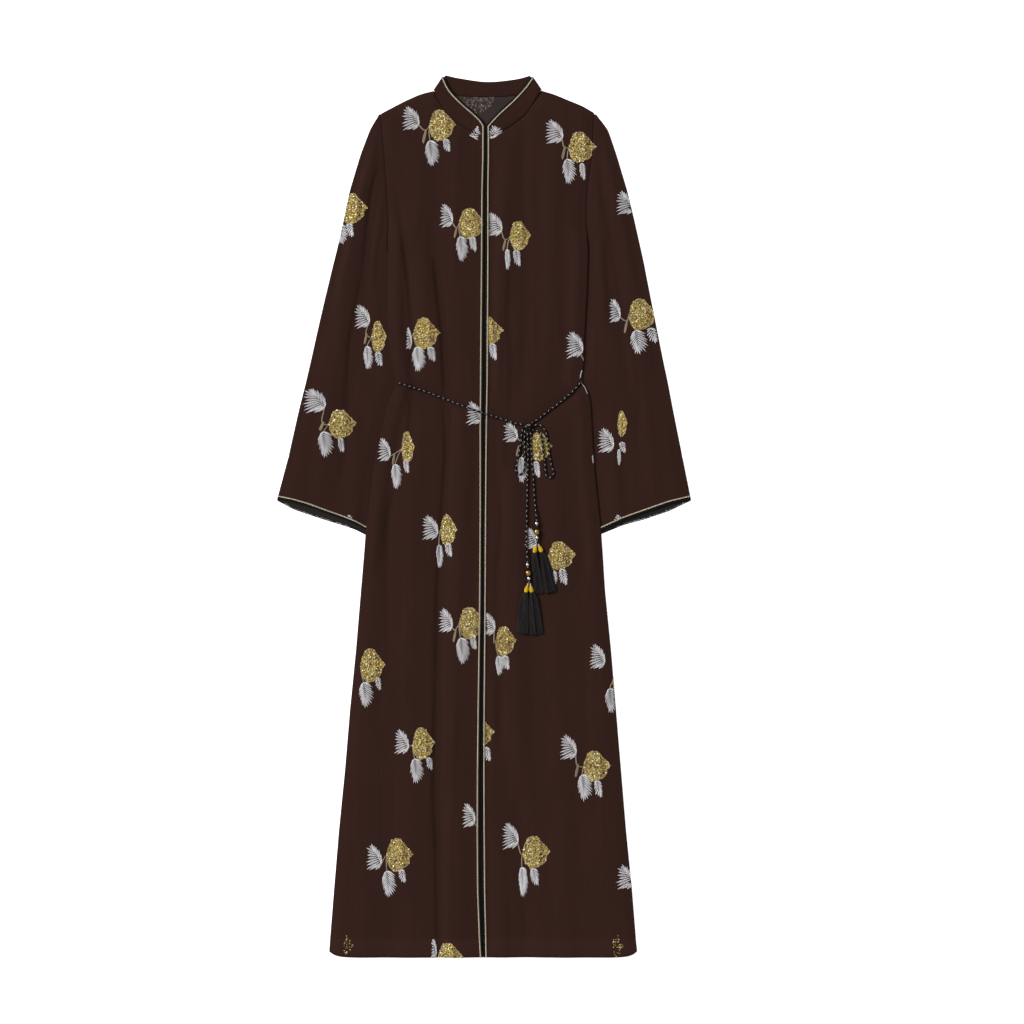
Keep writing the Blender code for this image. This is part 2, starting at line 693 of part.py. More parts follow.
def cuff_trim_stations(side):
    """Edge points of the front layer at the cuff, up to the body's side, with the way up the sleeve."""
    ring = sleeve_rings(side)[-1][0]
    before = sleeve_rings(side)[-2][0]
    stations = []
    for edge, upper in list(zip(ring, before))[SLEEVE_FRONT_START:-1]:
        inward = Vector(upper) - Vector(edge)
        inward.normalize()
        limit = body_side(side, edge[1]) + outward(side) * CUFF_TRIM_CLEARANCE
        if outward(side) * (edge[0] - limit) <= 0.0:
            last_edge, last_inward = stations[-1]
            share = (limit - last_edge[0]) / (edge[0] - last_edge[0])
            stations.append((tuple(mix(a, b, share) for a, b in zip(last_edge, edge)), last_inward))
            break
        stations.append((edge, (inward.x, inward.y)))
    return stations


def support_tree(objects):
    """One tree of the surfaces that the belt and tassels lie on."""
    bpy.context.view_layer.update()
    graph = bpy.context.evaluated_depsgraph_get()
    vertices, faces = [], []
    for carrier in objects:
        mesh = carrier.evaluated_get(graph).to_mesh()
        start = len(vertices)
        vertices += [carrier.matrix_world @ v.co for v in mesh.vertices]
        faces += [[start + n for n in face.vertices] for face in mesh.polygons]
        carrier.evaluated_get(graph).to_mesh_clear()
    return BVHTree.FromPolygons(vertices, faces)


def surface_height(tree, x, y, radius):
    """Highest point of the surfaces under a round footprint, in millimetres."""
    found = 0.0
    for out in (0.0, 0.6, 1.0):
        for turn in range(8):
            angle = turn * math.pi / 4.0
            reach_x = radius * out * math.cos(angle)
            reach_y = radius * out * math.sin(angle)
            start = Vector((x + reach_x, y + reach_y, RAY_TOP)) * MM
            hit = tree.ray_cast(start, Vector((0.0, 0.0, -1.0)))[0]
            if hit:
                found = max(found, hit.z / MM)
    return found


def smooth_route(points, step):
    """Points at even steps on a smooth curve through the route's own points."""
    ends = [points[0], *points, points[-1]]
    fine = []
    for before, start, end, after in zip(ends, ends[1:], ends[2:], ends[3:]):
        for n in range(ROUTE_STEPS):
            t = n / ROUTE_STEPS
            fine.append(tuple(
                0.5 * (2.0 * b + (c - a) * t + (2.0 * a - 5.0 * b + 4.0 * c - d) * t * t
                       + (3.0 * b - a - 3.0 * c + d) * t ** 3)
                for a, b, c, d in zip(before, start, end, after)
            ))
    fine.append(points[-1])
    length = sum(math.dist(a, b) for a, b in zip(fine, fine[1:]))
    count = max(4, round(length / step))
    return [along(fine, n / count) for n in range(count + 1)], length


def laid_route(tree, points, raised=()):
    """The route with its heights: on the cloth, and higher where beads need it."""
    route, length = smooth_route(points, CORD_STEP)
    fine, _ = smooth_route(points, FINE_STEP)
    needed = []
    for n, (x, y) in enumerate(fine):
        height = surface_height(tree, x, y, CORD_FOOTPRINT) + REST_GAP + CORD_RADIUS
        for (bead_x, bead_y), level in raised:
            if math.dist((x, y), (bead_x, bead_y)) < BEAD_REACH:
                height = max(height, level)
        needed.append((n * length / (len(fine) - 1), height))
    placed = []
    for n, (x, y) in enumerate(route):
        here = n * length / (len(route) - 1)
        height = max(
            level - CORD_SLOPE * max(abs(place - here) - CORD_STEP, 0.0) for place, level in needed
        )
        placed.append((x, y, height))
    return placed


def cord(name, points, collection, look):
    curve = bpy.data.curves.new(name, "CURVE")
    curve.dimensions = "3D"
    curve.bevel_depth = CORD_RADIUS * MM
    curve.bevel_resolution = 2
    curve.use_fill_caps = True
    spline = curve.splines.new("POLY")
    spline.points.add(len(points) - 1)
    for target, point in zip(spline.points, points):
        target.co = (*(Vector(point) * MM), 1.0)
    curve.materials.append(look)
    made = bpy.data.objects.new(name, curve)
    collection.objects.link(made)
    return made


def turned(name, profile, steps, place, axis, collection, look, closed=False):
    """A profile of radius and height turned round an axis, with its place at the profile's zero."""
    mesh = bpy.data.meshes.new(name)
    count = len(profile)
    edges = [(n, n + 1) for n in range(count - 1)]
    if closed:
        edges.append((count - 1, 0))
    mesh.from_pydata([(r * MM, 0.0, z * MM) for r, z in profile], edges, [])
    mesh.materials.append(look)
    made = bpy.data.objects.new(name, mesh)
    collection.objects.link(made)
    screw = made.modifiers.new("turn", "SCREW")
    screw.steps = steps
    screw.render_steps = steps
    screw.use_merge_vertices = True
    screw.merge_threshold = 0.00001
    turn = Vector((0.0, 0.0, 1.0)).rotation_difference(Vector(axis).normalized())
    made.matrix_world = Matrix.Translation(Vector(place) * MM) @ turn.to_matrix().to_4x4()
    return made


def bead_profile(radius, bore, half_length, steps):
    """A barrel bead with its bore, run down the outside and back up the inside."""
    rim = bore + BEAD_RIM
    outer = []
    for n in range(steps + 1):
        angle = math.pi * (0.5 - n / steps)
        bulge = math.cos(angle) ** 0.7 if 0 < n < steps else 0.0
        outer.append((rim + (radius - rim) * bulge, half_length * math.sin(angle)))
    return [*outer, (bore, -half_length), (bore, half_length)]


def bead(name, place, axis, radius, half_length, collection, look):
    profile = bead_profile(radius, BEAD_BORE, half_length, 6)
    return turned(name, profile, 12, place, axis, collection, look, closed=True)


def knot(collection, look, tree):
    """The hitch of the bow, a rounded lump under which the cords meet."""
    height = surface_height(tree, *KNOT_CENTRE, KNOT_HALF[0]) + REST_GAP + KNOT_HALF[2]
    shape = bmesh.new()
    bmesh.ops.create_uvsphere(shape, u_segments=16, v_segments=8, radius=1.0)
    for vertex in shape.verts:
        vertex.co = Vector([c * half * MM for c, half in zip(vertex.co, KNOT_HALF)])
    mesh = bpy.data.meshes.new("belt_knot")
    shape.to_mesh(mesh)
    shape.free()
    mesh.materials.append(look)
    mesh.shade_smooth()
    made = bpy.data.objects.new("belt_knot", mesh)
    made.location = Vector((*KNOT_CENTRE, height)) * MM
    collection.objects.link(made)
    return made


def cap(name, top, low, collection, look):
    """A bell-shaped cap, narrow where the cord enters it."""
    length = math.dist(top, low)
    profile = ((0.0, 0.0), (CAP_TOP_RADIUS * 0.8, 0.0), (CAP_TOP_RADIUS, -0.8), (2.6, -0.35 * length),
               (CAP_LOW_RADIUS, -0.6 * length), (CAP_LOW_RADIUS, -0.95 * length),
               (CAP_LOW_RADIUS - 0.4, -length), (0.0, -length))
    axis = Vector(top) - Vector(low)
    return turned(name, profile, 12, top, axis, collection, look)


def tassel(name, start, end, half_width, collection, look):
    """Strands fused at their roots into a flat backing, fanned out and flattened where they lie."""
    start, end = Vector(start), Vector(end)
    forward = (end - start).normalized()
    across = forward.cross(Vector((0.0, 0.0, 1.0))).normalized()
    up = across.cross(forward).normalized()
    root_half, root_thick, backing = 2.9, 3.6, 2.2
    shape = bmesh.new()

    def point(along_way, sideways, height):
        return shape.verts.new((start + forward * along_way + across * sideways + up * height) * MM)

    def grid(along_way):
        return [[point(along_way, mix(-root_half, root_half, c / STRAND_COLUMNS),
                       mix(-root_thick / 2.0, root_thick / 2.0, r / STRAND_LAYERS))
                 for r in range(STRAND_LAYERS + 1)] for c in range(STRAND_COLUMNS + 1)]

    back_face, front_face = grid(0.0), grid(backing)
    rim = [(c, 0) for c in range(STRAND_COLUMNS + 1)]
    rim += [(STRAND_COLUMNS, r) for r in range(1, STRAND_LAYERS + 1)]
    rim += [(c, STRAND_LAYERS) for c in range(STRAND_COLUMNS - 1, -1, -1)]
    rim += [(0, r) for r in range(STRAND_LAYERS - 1, 0, -1)]
    for (c, r), (c2, r2) in zip(rim, rim[1:] + rim[:1]):
        shape.faces.new((back_face[c][r], back_face[c2][r2], front_face[c2][r2], front_face[c][r]))
    length = (end - start).length
    for c in range(STRAND_COLUMNS):
        for r in range(STRAND_LAYERS):
            near, far = back_face[c], back_face[c + 1]
            shape.faces.new((near[r], near[r + 1], far[r + 1], far[r]))
            root = [front_face[c][r], front_face[c + 1][r], front_face[c + 1][r + 1], front_face[c][r + 1]]
            place = (c + 0.5) / STRAND_COLUMNS * 2.0 - 1.0
            layer = (r + 0.5) / STRAND_LAYERS * 2.0 - 1.0
            ragged = 1.0 - 0.02 * ((c * 5 + r * 3) % 4)
            stages = (
                (backing + 0.6, root_half - 0.3, 0.24, 1.8, 0.6),
                (length * 0.5, mix(root_half, half_width, 0.62), 0.48, 1.7, 0.55),
                (length * ragged, half_width, 0.72, 1.6, 0.5),
            )
            previous = root
            for way, reach, half, lift, half_up in stages:
                middle = place * (reach - half)
                ring = [point(way, middle + s * half, layer * lift + h * half_up)
                        for s, h in ((-1, -1), (1, -1), (1, 1), (-1, 1))]
                for n in range(4):
                    shape.faces.new((previous[n], previous[(n + 1) % 4], ring[(n + 1) % 4], ring[n]))
                previous = ring
            shape.faces.new(previous)
    bmesh.ops.recalc_face_normals(shape, faces=shape.faces)
    mesh = bpy.data.meshes.new(name)
    shape.to_mesh(mesh)
    shape.free()
    mesh.materials.append(look)
    made = bpy.data.objects.new(name, mesh)
    collection.objects.link(made)
    return made


def make_belt(collection, tree, belt_look, gold_look, silver_look, cap_look, tassel_look):
    knot(collection, belt_look, tree)
    for name, points in BELT.items():
        side = name.rsplit("_", 1)[1]
        raised = []
        level = 0.0
        if name.startswith("belt_tail"):
            level = max(surface_height(tree, *p, GOLD_BEAD_RADIUS) for p in BEADS[side])
            level += GOLD_BEAD_RADIUS + REST_GAP
            raised = [(p, level) for p in BEADS[side]]
        route = laid_route(tree, points, raised)
        cord(name, route, collection, belt_look)
        if not raised:
            continue
        for n, (x, y) in enumerate(BEADS[side]):
            nearest = min(range(1, len(route) - 1), key=lambda k: math.dist(route[k][:2], (x, y)))
            axis = Vector(route[nearest - 1]) - Vector(route[nearest + 1])
            axis.z = 0.0
            label = ("silver_upper", "gold", "silver_lower")[n]
            metal = label.split("_")[0]
            radius = GOLD_BEAD_RADIUS if metal == "gold" else SILVER_BEAD_RADIUS
            look = gold_look if metal == "gold" else silver_look
            half = BEAD_HALF_LENGTHS[metal]
            bead(f"bead_{side}_{label}", (x, y, level), axis, radius, half, collection, look)
        for key, (top, low, end, half_width) in TASSELS.items():
            if not key.startswith(side):
                continue
            middle = tuple(mix(a, b, 0.5) for a, b in zip(low, end))
            rest = max(surface_height(tree, *end, half_width),
                       surface_height(tree, *middle, half_width * 0.7))
            beside_cap = surface_height(tree, *low, CAP_LOW_RADIUS) + REST_GAP + CAP_LOW_RADIUS
            cap_top = Vector((*top, route[-1][2]))
            cap_low = Vector((*low, max(beside_cap, rest + REST_GAP + TASSEL_HALF_THICKNESS)))
            tassel_end = Vector((*end, rest + REST_GAP + TASSEL_HALF_THICKNESS))
            cap(f"cap_{key}", cap_top, cap_low, collection, cap_look)
            start = cap_low + (tassel_end - cap_low).normalized() * TASSEL_GAP
            tassel(f"tassel_{key}", start, tassel_end, half_width, collection, tassel_look)


def main():
    clear_scene()
    parts = make_collection("abaya")
    cloth = material("plum_crepe", CLOTH_COLOUR, 0.75)
    edging = material("black_edging", EDGING_COLOUR, 0.55)
    gold = material("gold_thread", GOLD_COLOUR, 0.35, 0.8)
    silver = material("silver_bead", SILVER_COLOUR, 0.3, 0.9)
    belt = material("belt_cord", BELT_COLOUR, 0.6)
    cap_look = material("yellow_cap", CAP_COLOUR, 0.5)
    fringe = material("black_fringe", TASSEL_COLOUR, 0.6)

    finish_wall("back", grid_surface("back", back_grid()), parts, cloth, 1.0)
    fronts = {side: front_grid(side) for side in ("left", "right")}
    carriers = []
    for side in ("left", "right"):
        name = "front_" + side
        carriers.append(finish_wall(name, grid_surface(name, fronts[side]), parts, cloth, 1.0))
        name = "sleeve_" + side
        finish_wall(name, sleeve_surface(name, side), parts, cloth, -1.0)
    halves = make_collar(fronts, parts, cloth)
    black, bright = (EDGING_FROM_EDGE, edging_profile(), edging), (GOLD_FROM_EDGE, gold_profile(), gold)
    trims = (("edging_", *black), ("gold_cord_", *bright))
    cuff_trims = (("cuff_edging_", *black), ("cuff_gold_", *bright))
    for side in ("left", "right"):
        stations = front_trim_stations(side, fronts[side], halves[side][0])
        for start, from_edge, profile, look in trims:
            carriers.append(ribbon(start + side, stations, from_edge, profile, parts, look))
        stations = cuff_trim_stations(side)
        for start, from_edge, profile, look in cuff_trims:
            ribbon(start + side, stations, from_edge, profile, parts, look)
    make_belt(parts, support_tree(carriers), belt, gold, silver, cap_look, fringe)


main()
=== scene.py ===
"""A long open-front abaya with embroidered leaves and flowers, laid flat on its back, front up.

The lengths in the tables are millimetres. +X is to the right, +Y towards the neck and +Z up out
of the front. The panels are fine sheets of cloth with their creases, the cords are twisted or
braided strands, and the embroidery is laid stitch by stitch on the panels.
"""

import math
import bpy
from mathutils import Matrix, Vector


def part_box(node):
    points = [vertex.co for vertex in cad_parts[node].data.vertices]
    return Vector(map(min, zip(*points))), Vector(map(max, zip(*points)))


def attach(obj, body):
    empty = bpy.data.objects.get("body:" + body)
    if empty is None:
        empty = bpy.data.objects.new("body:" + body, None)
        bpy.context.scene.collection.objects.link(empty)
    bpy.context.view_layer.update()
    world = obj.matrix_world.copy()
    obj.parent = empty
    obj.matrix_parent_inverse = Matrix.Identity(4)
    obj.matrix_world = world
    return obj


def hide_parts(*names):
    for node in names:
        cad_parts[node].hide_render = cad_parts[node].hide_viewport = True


bl_info = {
    "name": "Abaya laid flat",
    "version": (1, 0, 0),
    "blender": (4, 5, 0),
    "location": "View3D > Sidebar > Abaya",
    "description": "Builds the cloth, trimmings, belt and embroidery of an open-front abaya",
    "category": "Object",
}

import bmesh
import bpy
import numpy as np
from mathutils import Vector, noise
from mathutils.bvhtree import BVHTree

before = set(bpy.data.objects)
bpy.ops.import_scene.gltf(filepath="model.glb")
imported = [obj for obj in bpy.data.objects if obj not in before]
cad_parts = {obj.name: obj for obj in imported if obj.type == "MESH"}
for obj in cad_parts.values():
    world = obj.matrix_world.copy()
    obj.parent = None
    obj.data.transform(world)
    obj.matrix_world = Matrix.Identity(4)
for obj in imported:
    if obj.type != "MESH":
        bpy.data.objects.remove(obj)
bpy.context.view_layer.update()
BODY_NAME = "root"
PIECE = "abaya_"
MM = 0.001
SIDES = ("left", "right")

# camera, floor and light
CAMERA_PLACE = (0.0448, 0.0067, 4.0)
CAMERA_LENS = 87.89
CAMERA_SENSOR = 36.0
FLOOR_HALF = 8000.0
FLOOR_DROP = 0.2
SUN_ANGLE = 24.0
SUN_FROM = (-1.0, 0.55, 0.95)
WHITE = (1.0, 1.0, 1.0, 1.0)

# cloth and seams
WALL = 1.2
SEAM = 0.2
REST_GAP = 0.35
SOFTEN = 5.0
ROW_STEP = 6.0

# layers of the body
BODY_PUFF = 2.6
PLACKET_PUFF = 1.8
LEAST_GAP = 0.4
CREASED_GAP = 0.2
SIDE_ROLL = 18.0
SHOULDER_ROLL = 24.0
PLACKET_WIDTH = 9.0
PLACKET_FADE = 12.0
NECK_POINT_FADE = 20.0
BELT_PINCH = 0.7
BELT_PINCH_REACH = 13.0
LIFT = 3.3
LIFT_FULL_TO = 14.0
LIFT_FADES_OVER = 20.0
LIFT_TOP = 430.0
LIFT_LOW = -65.0
LIFT_LENGTH_FADE = 42.0
HEM_CORNER_RISE = 9.5
HEM_CORNER_REACH = 9.0
HEM_CORNER_HEIGHT = 25.0
NEAR_SIDE = (0.0, 1.0, 2.2, 4.0, 6.5, 10.0, 14.0, 19.0)
NEAR_OPENING = (9.0, 7.0, 5.0, 3.5, 2.0, 1.0, 0.0)
COLUMNS_BETWEEN = 62
SHOULDER_ROWS = 14
BACK_COLUMNS_BETWEEN = 60
HEM_LINE = -674.5
HEM_RISE = 0.5
HEM_SOFT = 2.5
EDGE_DROP = 0.8
EDGE_DROP_REACH = 2.0
TOP_DROP_SHARE = 0.2
PLACKET_DROP_SHARE = 0.4

# sleeves
SLEEVE_EDGE_HEIGHT = 2.8
SLEEVE_PUFF = 1.7
SLEEVE_TIP = 3.5
SLEEVE_TIP_SHARE = 0.25
SLEEVE_FLAT = 14.0
SLEEVE_OUTER_ROLL = 18.0
SLEEVE_INNER_ROLL = 20.0
SLEEVE_LEAST_RISE = 0.3
TUCK = 12.0
TUCK_FULL_BELOW = 385.0
ARMPIT = 425.9
ARMPIT_FADE = 15.0
ARMHOLE_OVERLAP = 0.5
ARMHOLE_DROP = 1.7
LOWER_COLUMNS = 24
UPPER_COLUMNS = 46
FOLD_TURNS = 7
CUFF_ROWS = 14
CUFF_TRIM_CLEARANCE = 1.2

# folds, creases and small waves
FOLD_FADE = 60.0
CREASE_END = 40.0
CREASE_END_SHARE = 0.25
CREASE_FALL = 1.2
CREASE_AT_BELT = 0.5
RIPPLE_ACROSS = 0.045
RIPPLE_ALONG = 0.011
SLEEVE_WAVES = 3.0

# collar
COLLAR_TOP = 4.2
COLLAR_PUFF = 0.5
COLLAR_BACK_INSET = 3.2
COLLAR_TIP_INSET = 0.3 * COLLAR_BACK_INSET
COLLAR_STATIONS = 36
COLLAR_FOLD_STATIONS = 9
COLLAR_BACK_STATIONS = 30
COLLAR_ROWS = 8

# trimmings
EDGING_WIDTH = 2.2
EDGING_HEIGHT = 1.0
EDGING_ROUND = 0.8
EDGING_POINTS = 7
EDGING_FROM_EDGE = 1.2
GOLD_FROM_EDGE = 4.0
GOLD_RISE = 1.0
GOLD_WIND = {"Step": 0.0009, "Strands": 2, "Across": 0.00068, "Height": 0.0005, "Sides": 6}
TRIM_STEP = 2.0
BAND_END_STEP = 4.0
CUFF_STEP = 0.5
CUFF_END = 0.6

# belt cord, beads and tassels
CORD_RADIUS = 1.6
CORD_SLOPE = 0.25
CORD_FOOTPRINT = 1.15 * CORD_RADIUS
CORD_STEP = 8.0
LOOP_STEP = 5.0
FINE_STEP = 2.0
ROUTE_STEPS = 12
RAY_TOP = 60.0
FOOTPRINT_RINGS = (0.0, 0.6, 1.0)
FOOTPRINT_SPOKES = 8
BEAD_REACH = 7.0
BEAD_SIZES = {"gold": (4.6, 4.3), "silver": (3.3, 2.4)}
BEAD_BORE = 1.75
BEAD_RIM = 0.3
BEAD_BULGE = 0.7
BEAD_STEPS = 16
BEAD_SEGMENTS = 32
BORE_REACH = 6
KNOT_CENTRE = (70.4, 143.5)
KNOT_REACH = 7.0
KNOT_RISE = 4.0
KNOT_CORE = (5.4, 5.4, 2.6)
KNOT_POLE = 0.06
RING_POINTS = 41
CORE_SEGMENTS = 24
CORE_RINGS = 12
SHARP_ANGLE = 50.0
CAP_RADIUS = 3.3
CAP_NECK_SHARE = 0.22
CAP_TURNS = 12.0
TURN_POINTS = 14
WINDING_RADIUS = 0.42
WINDING_LIFT = 0.1
CAP_THREAD_RADIUS = 1.05
FRINGE_SPREAD = 1.0
FRINGE_POINTS = 11
FRINGE_NECK = 2.3
FRINGE_ROUND = 0.6
FRINGE_RAGGED, FRINGE_CURVED = 0.05, 0.03
FRINGE_WAVER = (0.1, 0.7)
FRINGE_WAVES = 6.0
FRINGE_RADII = (0.32, 0.42)
SEEDS = {"left": 11, "right": 12}
TASSEL_START = -0.5
TASSEL_HALF_THICKNESS = 1.9
TASSEL_WAIST = 0.7
CORE_TONE = 0.1
WINDING_TONE_STEP = 0.7

# embroidery
STEM_REACH = 31.0
STEM_SHIFT = 0.4
FORK_REACH = 20.0
FORK_SHIFT = (-3.0, -2.0)
FLOWER_STEM = (0.02, 0.52)
BUD_STEM = (0.5, 0.06)
LEAST_ASIDE = 2.0
LEAST_DROP = 4.0
LOW_BEND, LOW_SHIFT = 0.6, (-1.0, 0.0)
RIM_STITCH = 0.021
RIM_LENGTH = 0.8 * RIM_STITCH
RIM_PLAY = 0.09
LOOSE_STROKES = 420
LOOSE_LENGTH = (1.6, 3.6)
PALE_FROM = 0.55 * LOOSE_STROKES
# thickness, least and most tone, rise
LOOSE_ENDS = {"pale": (0.32, (0.25, 1.0), 0.4), "dark": (0.5, (0.02, 0.02), 0.1)}
WRONG_SIDE_MIDDLE = (0.5, 0.05)
WRONG_SIDE_DEPTH = 0.9
CUFF_STROKES = 150
CUFF_STRETCH = (0.06, 0.74)
CUFF_DROP = (0.5, 2.3)
CUFF_STROKE = ((-1.4, -0.3), (1.4, 0.9))
CUFF_TONE = (0.3, 0.9)
CUFF_THREAD = 0.34
CUFF_RISE = 0.2
BARB_STRANDS = (-1, 0, 1)
BARB_SWEEP = 0.30
BARB_SPACING = 3.7
BARB_WIDTH = 0.22
BARB_START = 0.18
BARB_END = 0.10
BARB_POINT = 0.09
BARB_TOOTH = 0.05
BARB_BELLY = 1.6
BARB_PLAY = 0.05
# a barb's tone, its random play, and the painted shade that darkens its two side strands
BARB_TONE, BARB_TONE_PLAY, BARB_SIDE_PAINTED_SHADE = 0.80, 0.12, 0.2
BARB_RISE, BARB_RISE_FALL = 0.6, 0.25
SLEEVE_FRONT_ABOVE = 0.7 * SLEEVE_EDGE_HEIGHT
THREAD_CLEARANCE = 0.05
THREAD_END = 0.72
SEQUIN_CLEARANCE = 0.42
SEQUIN_ROWS = 0.87
SEQUIN_PLAY = 0.3
SEQUIN_TILT = 0.34
SEQUIN_DEPTH = 0.00025
SEQUIN_CORNERS = 6
SEQUIN_SEED = 5
BANDED_WIDTH = 30.0
STITCH_SHARES = np.linspace(0.0, 1.0, 6)
STEM_SHARES = np.linspace(0.0, 1.0, 9)
# gold stitches: radius, lowest tone, its play and how high they arch
STITCHES = {"rim": (0.5, 0.45, 0.55, 0.9), "bud": (0.58, 0.15, 0.3, 0.5), "stem": (0.66, 0.1, 0.3, 0.15)}
# chance that a sequin is missing
MISSING = {"specks": 0.80, "band": 0.14, "flower": 0.03}
BAND_TONE = 0.45

# the body's outline, a row for each section: height, left side, middle of the opening,
# half the opening's gap, right side
BODY = (
    (577.9, -159.5, 2.8, 0.4, 172.8),
    (521.9, -155.2, 1.7, 0.7, 164.8),
    (473.9, -153.1, 1.5, 0.9, 163.2),
    (425.9, -153.6, 1.4, 1.0, 166.5),
    (361.9, -153.6, 1.0, 1.1, 164.8),
    (293.1, -152.8, 0.5, 1.2, 160.8),
    (249.9, -148.8, 0.2, 1.2, 159.9),
    (214.7, -139.2, 0.0, 1.2, 155.6),
    (198.7, -145.6, -0.2, 1.1, 167.0),
    (179.5, -153.6, -0.5, 1.0, 170.6),
    (147.5, -161.0, -0.9, 0.9, 172.3),
    (110.7, -170.1, -1.1, 0.7, 174.5),
    (73.9, -177.0, -1.3, 0.5, 177.0),
    (9.9, -184.0, -1.5, 0.3, 183.5),
    (-22.1, -188.8, -1.7, 0.3, 187.2),
    (-62.1, -191.8, -1.9, 0.3, 190.0),
    (-118.1, -196.8, -2.2, 0.3, 193.6),
    (-214.1, -204.8, -3.2, 0.5, 203.2),
    (-310.1, -214.4, -4.3, 0.8, 211.2),
    (-406.1, -222.4, -5.0, 1.2, 219.2),
    (-502.1, -232.0, -5.0, 1.5, 227.2),
    (-598.1, -240.0, -4.3, 1.6, 236.8),
    (-678.1, -246.4, -1.9, 1.0, 243.2),
    (-705.3, -247.6, -0.9, 0.4, 245.0),
)
HEIGHT, LEFT, MIDDLE, HALF_GAP, RIGHT = range(5)

# top edges of the fronts, from the shoulder's tip to the neck point and along the neck seam
SHOULDER = {
    "left": ((-164.8, 643.5), (-142.4, 655.5), (-123.2, 665.1), (-100.8, 674.7), (-80.8, 679.8)),
    "right": ((176.0, 645.0), (156.8, 656.0), (132.8, 666.0), (110.4, 675.0), (91.5, 680.5)),
}
NECK_SEAM = {
    "left": ((-73.6, 666.2), (-59.2, 643.7), (-44.8, 630.7), (-28.8, 619.8), (-10.0, 611.0), (2.5, 605.0)),
    "right": ((83.2, 666.2), (68.8, 643.7), (54.1, 630.7), (38.2, 619.8), (20.0, 611.0), (3.1, 605.0)),
}
BACK_NECK = ((-35.0, 671.5), (5.0, 669.9), (45.0, 671.5))

# free edge of the collar's fronts, from the fold at the shoulder to the opening
COLLAR_EDGE = {
    "left": ((-63.0, 701.8), (-52.7, 681.8), (-33.2, 661.1), (-14.9, 645.3), (-3.8, 634.2), (2.5, 624.5)),
    "right": ((74.9, 702.4), (63.0, 686.0), (44.7, 666.3), (24.9, 648.0), (11.3, 634.2), (3.1, 624.5)),
}
COLLAR_FOLD = {
    "left": ((-81.0, 681.3), (-66.5, 703.2)),
    "right": ((92.5, 682.0), (78.3, 702.8)),
}
COLLAR_BACK_TOP = ((-62.0, 705.3), (-38.4, 700.3), (5.0, 694.7), (49.6, 698.7), (74.0, 704.6))

# outer edge of the sleeves: height, left, right
SLEEVES = (
    (642.6, -166.4, 177.8),
    (637.5, -171.2, 183.6),
    (617.9, -182.4, 198.4),
    (577.9, -197.6, 212.0),
    (545.0, -207.5, 221.8),
    (521.9, -214.4, 228.8),
    (473.9, -224.4, 240.4),
    (425.9, -235.2, 251.2),
    (404.0, -240.8, 256.0),
    (385.0, -245.4, 259.6),
    (345.0, -255.1, 267.4),
    (293.1, -267.0, 277.8),
    (249.9, -276.6, 286.4),
    (214.7, -284.7, 293.9),
    (170.0, -296.0, 302.4),
    (130.0, -305.0, 310.4),
    (95.0, -312.8, 317.4),
)
# cuffs: place along the cuff, height of the front layer's edge and of the back layer's edge
CUFFS = {
    "left": (
        (-331.2, 28.4, 25.0),
        (-305.6, 23.3, 11.0),
        (-278.7, 15.3, 1.6),
        (-252.3, 5.4, -6.9),
        (-225.6, -3.9, -15.0),
        (-205.8, -11.9, -21.6),
        (-188.8, -21.8, -30.5),
        (-174.0, -28.4, -36.0),
    ),
    "right": (
        (331.2, 28.4, 25.0),
        (295.7, 20.0, 7.8),
        (254.4, 5.4, -5.9),
        (222.7, -5.8, -14.4),
        (187.5, -22.1, -28.8),
        (172.0, -28.4, -35.0),
    ),
}

# lengthwise folds of each panel: top place, middle place, low place, half width, crest height
FOLDS = {
    "front_left": (
        ((-147.0, 546.0), (-131.0, 408.0), (-117.0, 226.0), 10.0, -1.6),
        ((-104.0, 560.0), (-102.0, 400.0), (-92.0, 250.0), 16.0, 2.4),
        ((-83.0, 440.0), (-70.0, 310.0), (-61.0, 170.0), 10.0, -2.0),
        ((-40.0, 590.0), (-46.0, 400.0), (-36.0, 240.0), 15.0, 1.8),
        ((-61.0, 160.0), (-77.0, -262.0), (-74.0, -760.0), 12.0, -2.2),
        ((-36.0, 150.0), (-48.0, -262.0), (-44.0, -760.0), 17.0, 3.0),
        ((-110.0, 120.0), (-116.0, -262.0), (-122.0, -760.0), 20.0, 2.2),
        ((-152.0, 10.0), (-160.0, -166.0), (-172.0, -300.0), 12.0, -1.5),
        ((-180.0, -280.0), (-186.0, -500.0), (-196.0, -760.0), 20.0, 1.8),
    ),
    "front_right": (
        ((62.0, 590.0), (70.0, 340.0), (62.0, 225.0), 10.0, -1.6),
        ((38.0, 560.0), (26.0, 400.0), (22.0, 230.0), 13.0, 2.0),
        ((112.0, 590.0), (106.0, 400.0), (98.0, 250.0), 18.0, 2.4),
        ((20.0, 130.0), (21.0, -60.0), (27.0, -330.0), 10.0, -1.6),
        ((46.0, 40.0), (52.0, -200.0), (58.0, -420.0), 16.0, 2.6),
        ((54.0, -430.0), (62.0, -600.0), (74.0, -760.0), 15.0, -1.8),
        ((112.0, 120.0), (122.0, -260.0), (132.0, -760.0), 20.0, 2.4),
        ((176.0, -180.0), (184.0, -420.0), (196.0, -760.0), 20.0, 1.6),
    ),
    "sleeve_left": (
        ((-163.0, 580.0), (-193.6, 408.0), (-228.0, 100.0), 9.0, -1.5),
        ((-190.0, 560.0), (-219.0, 400.0), (-262.0, 60.0), 14.0, 2.2),
        ((-210.0, 150.0), (-206.0, 80.0), (-204.0, -60.0), 12.0, 1.4),
    ),
    "sleeve_right": (
        ((183.0, 580.0), (205.0, 370.0), (247.0, 150.0), 9.0, -1.5),
        ((208.0, 560.0), (232.0, 380.0), (272.0, 60.0), 14.0, 2.2),
        ((194.0, 330.0), (202.0, 200.0), (212.0, 20.0), 12.0, 1.4),
    ),
}

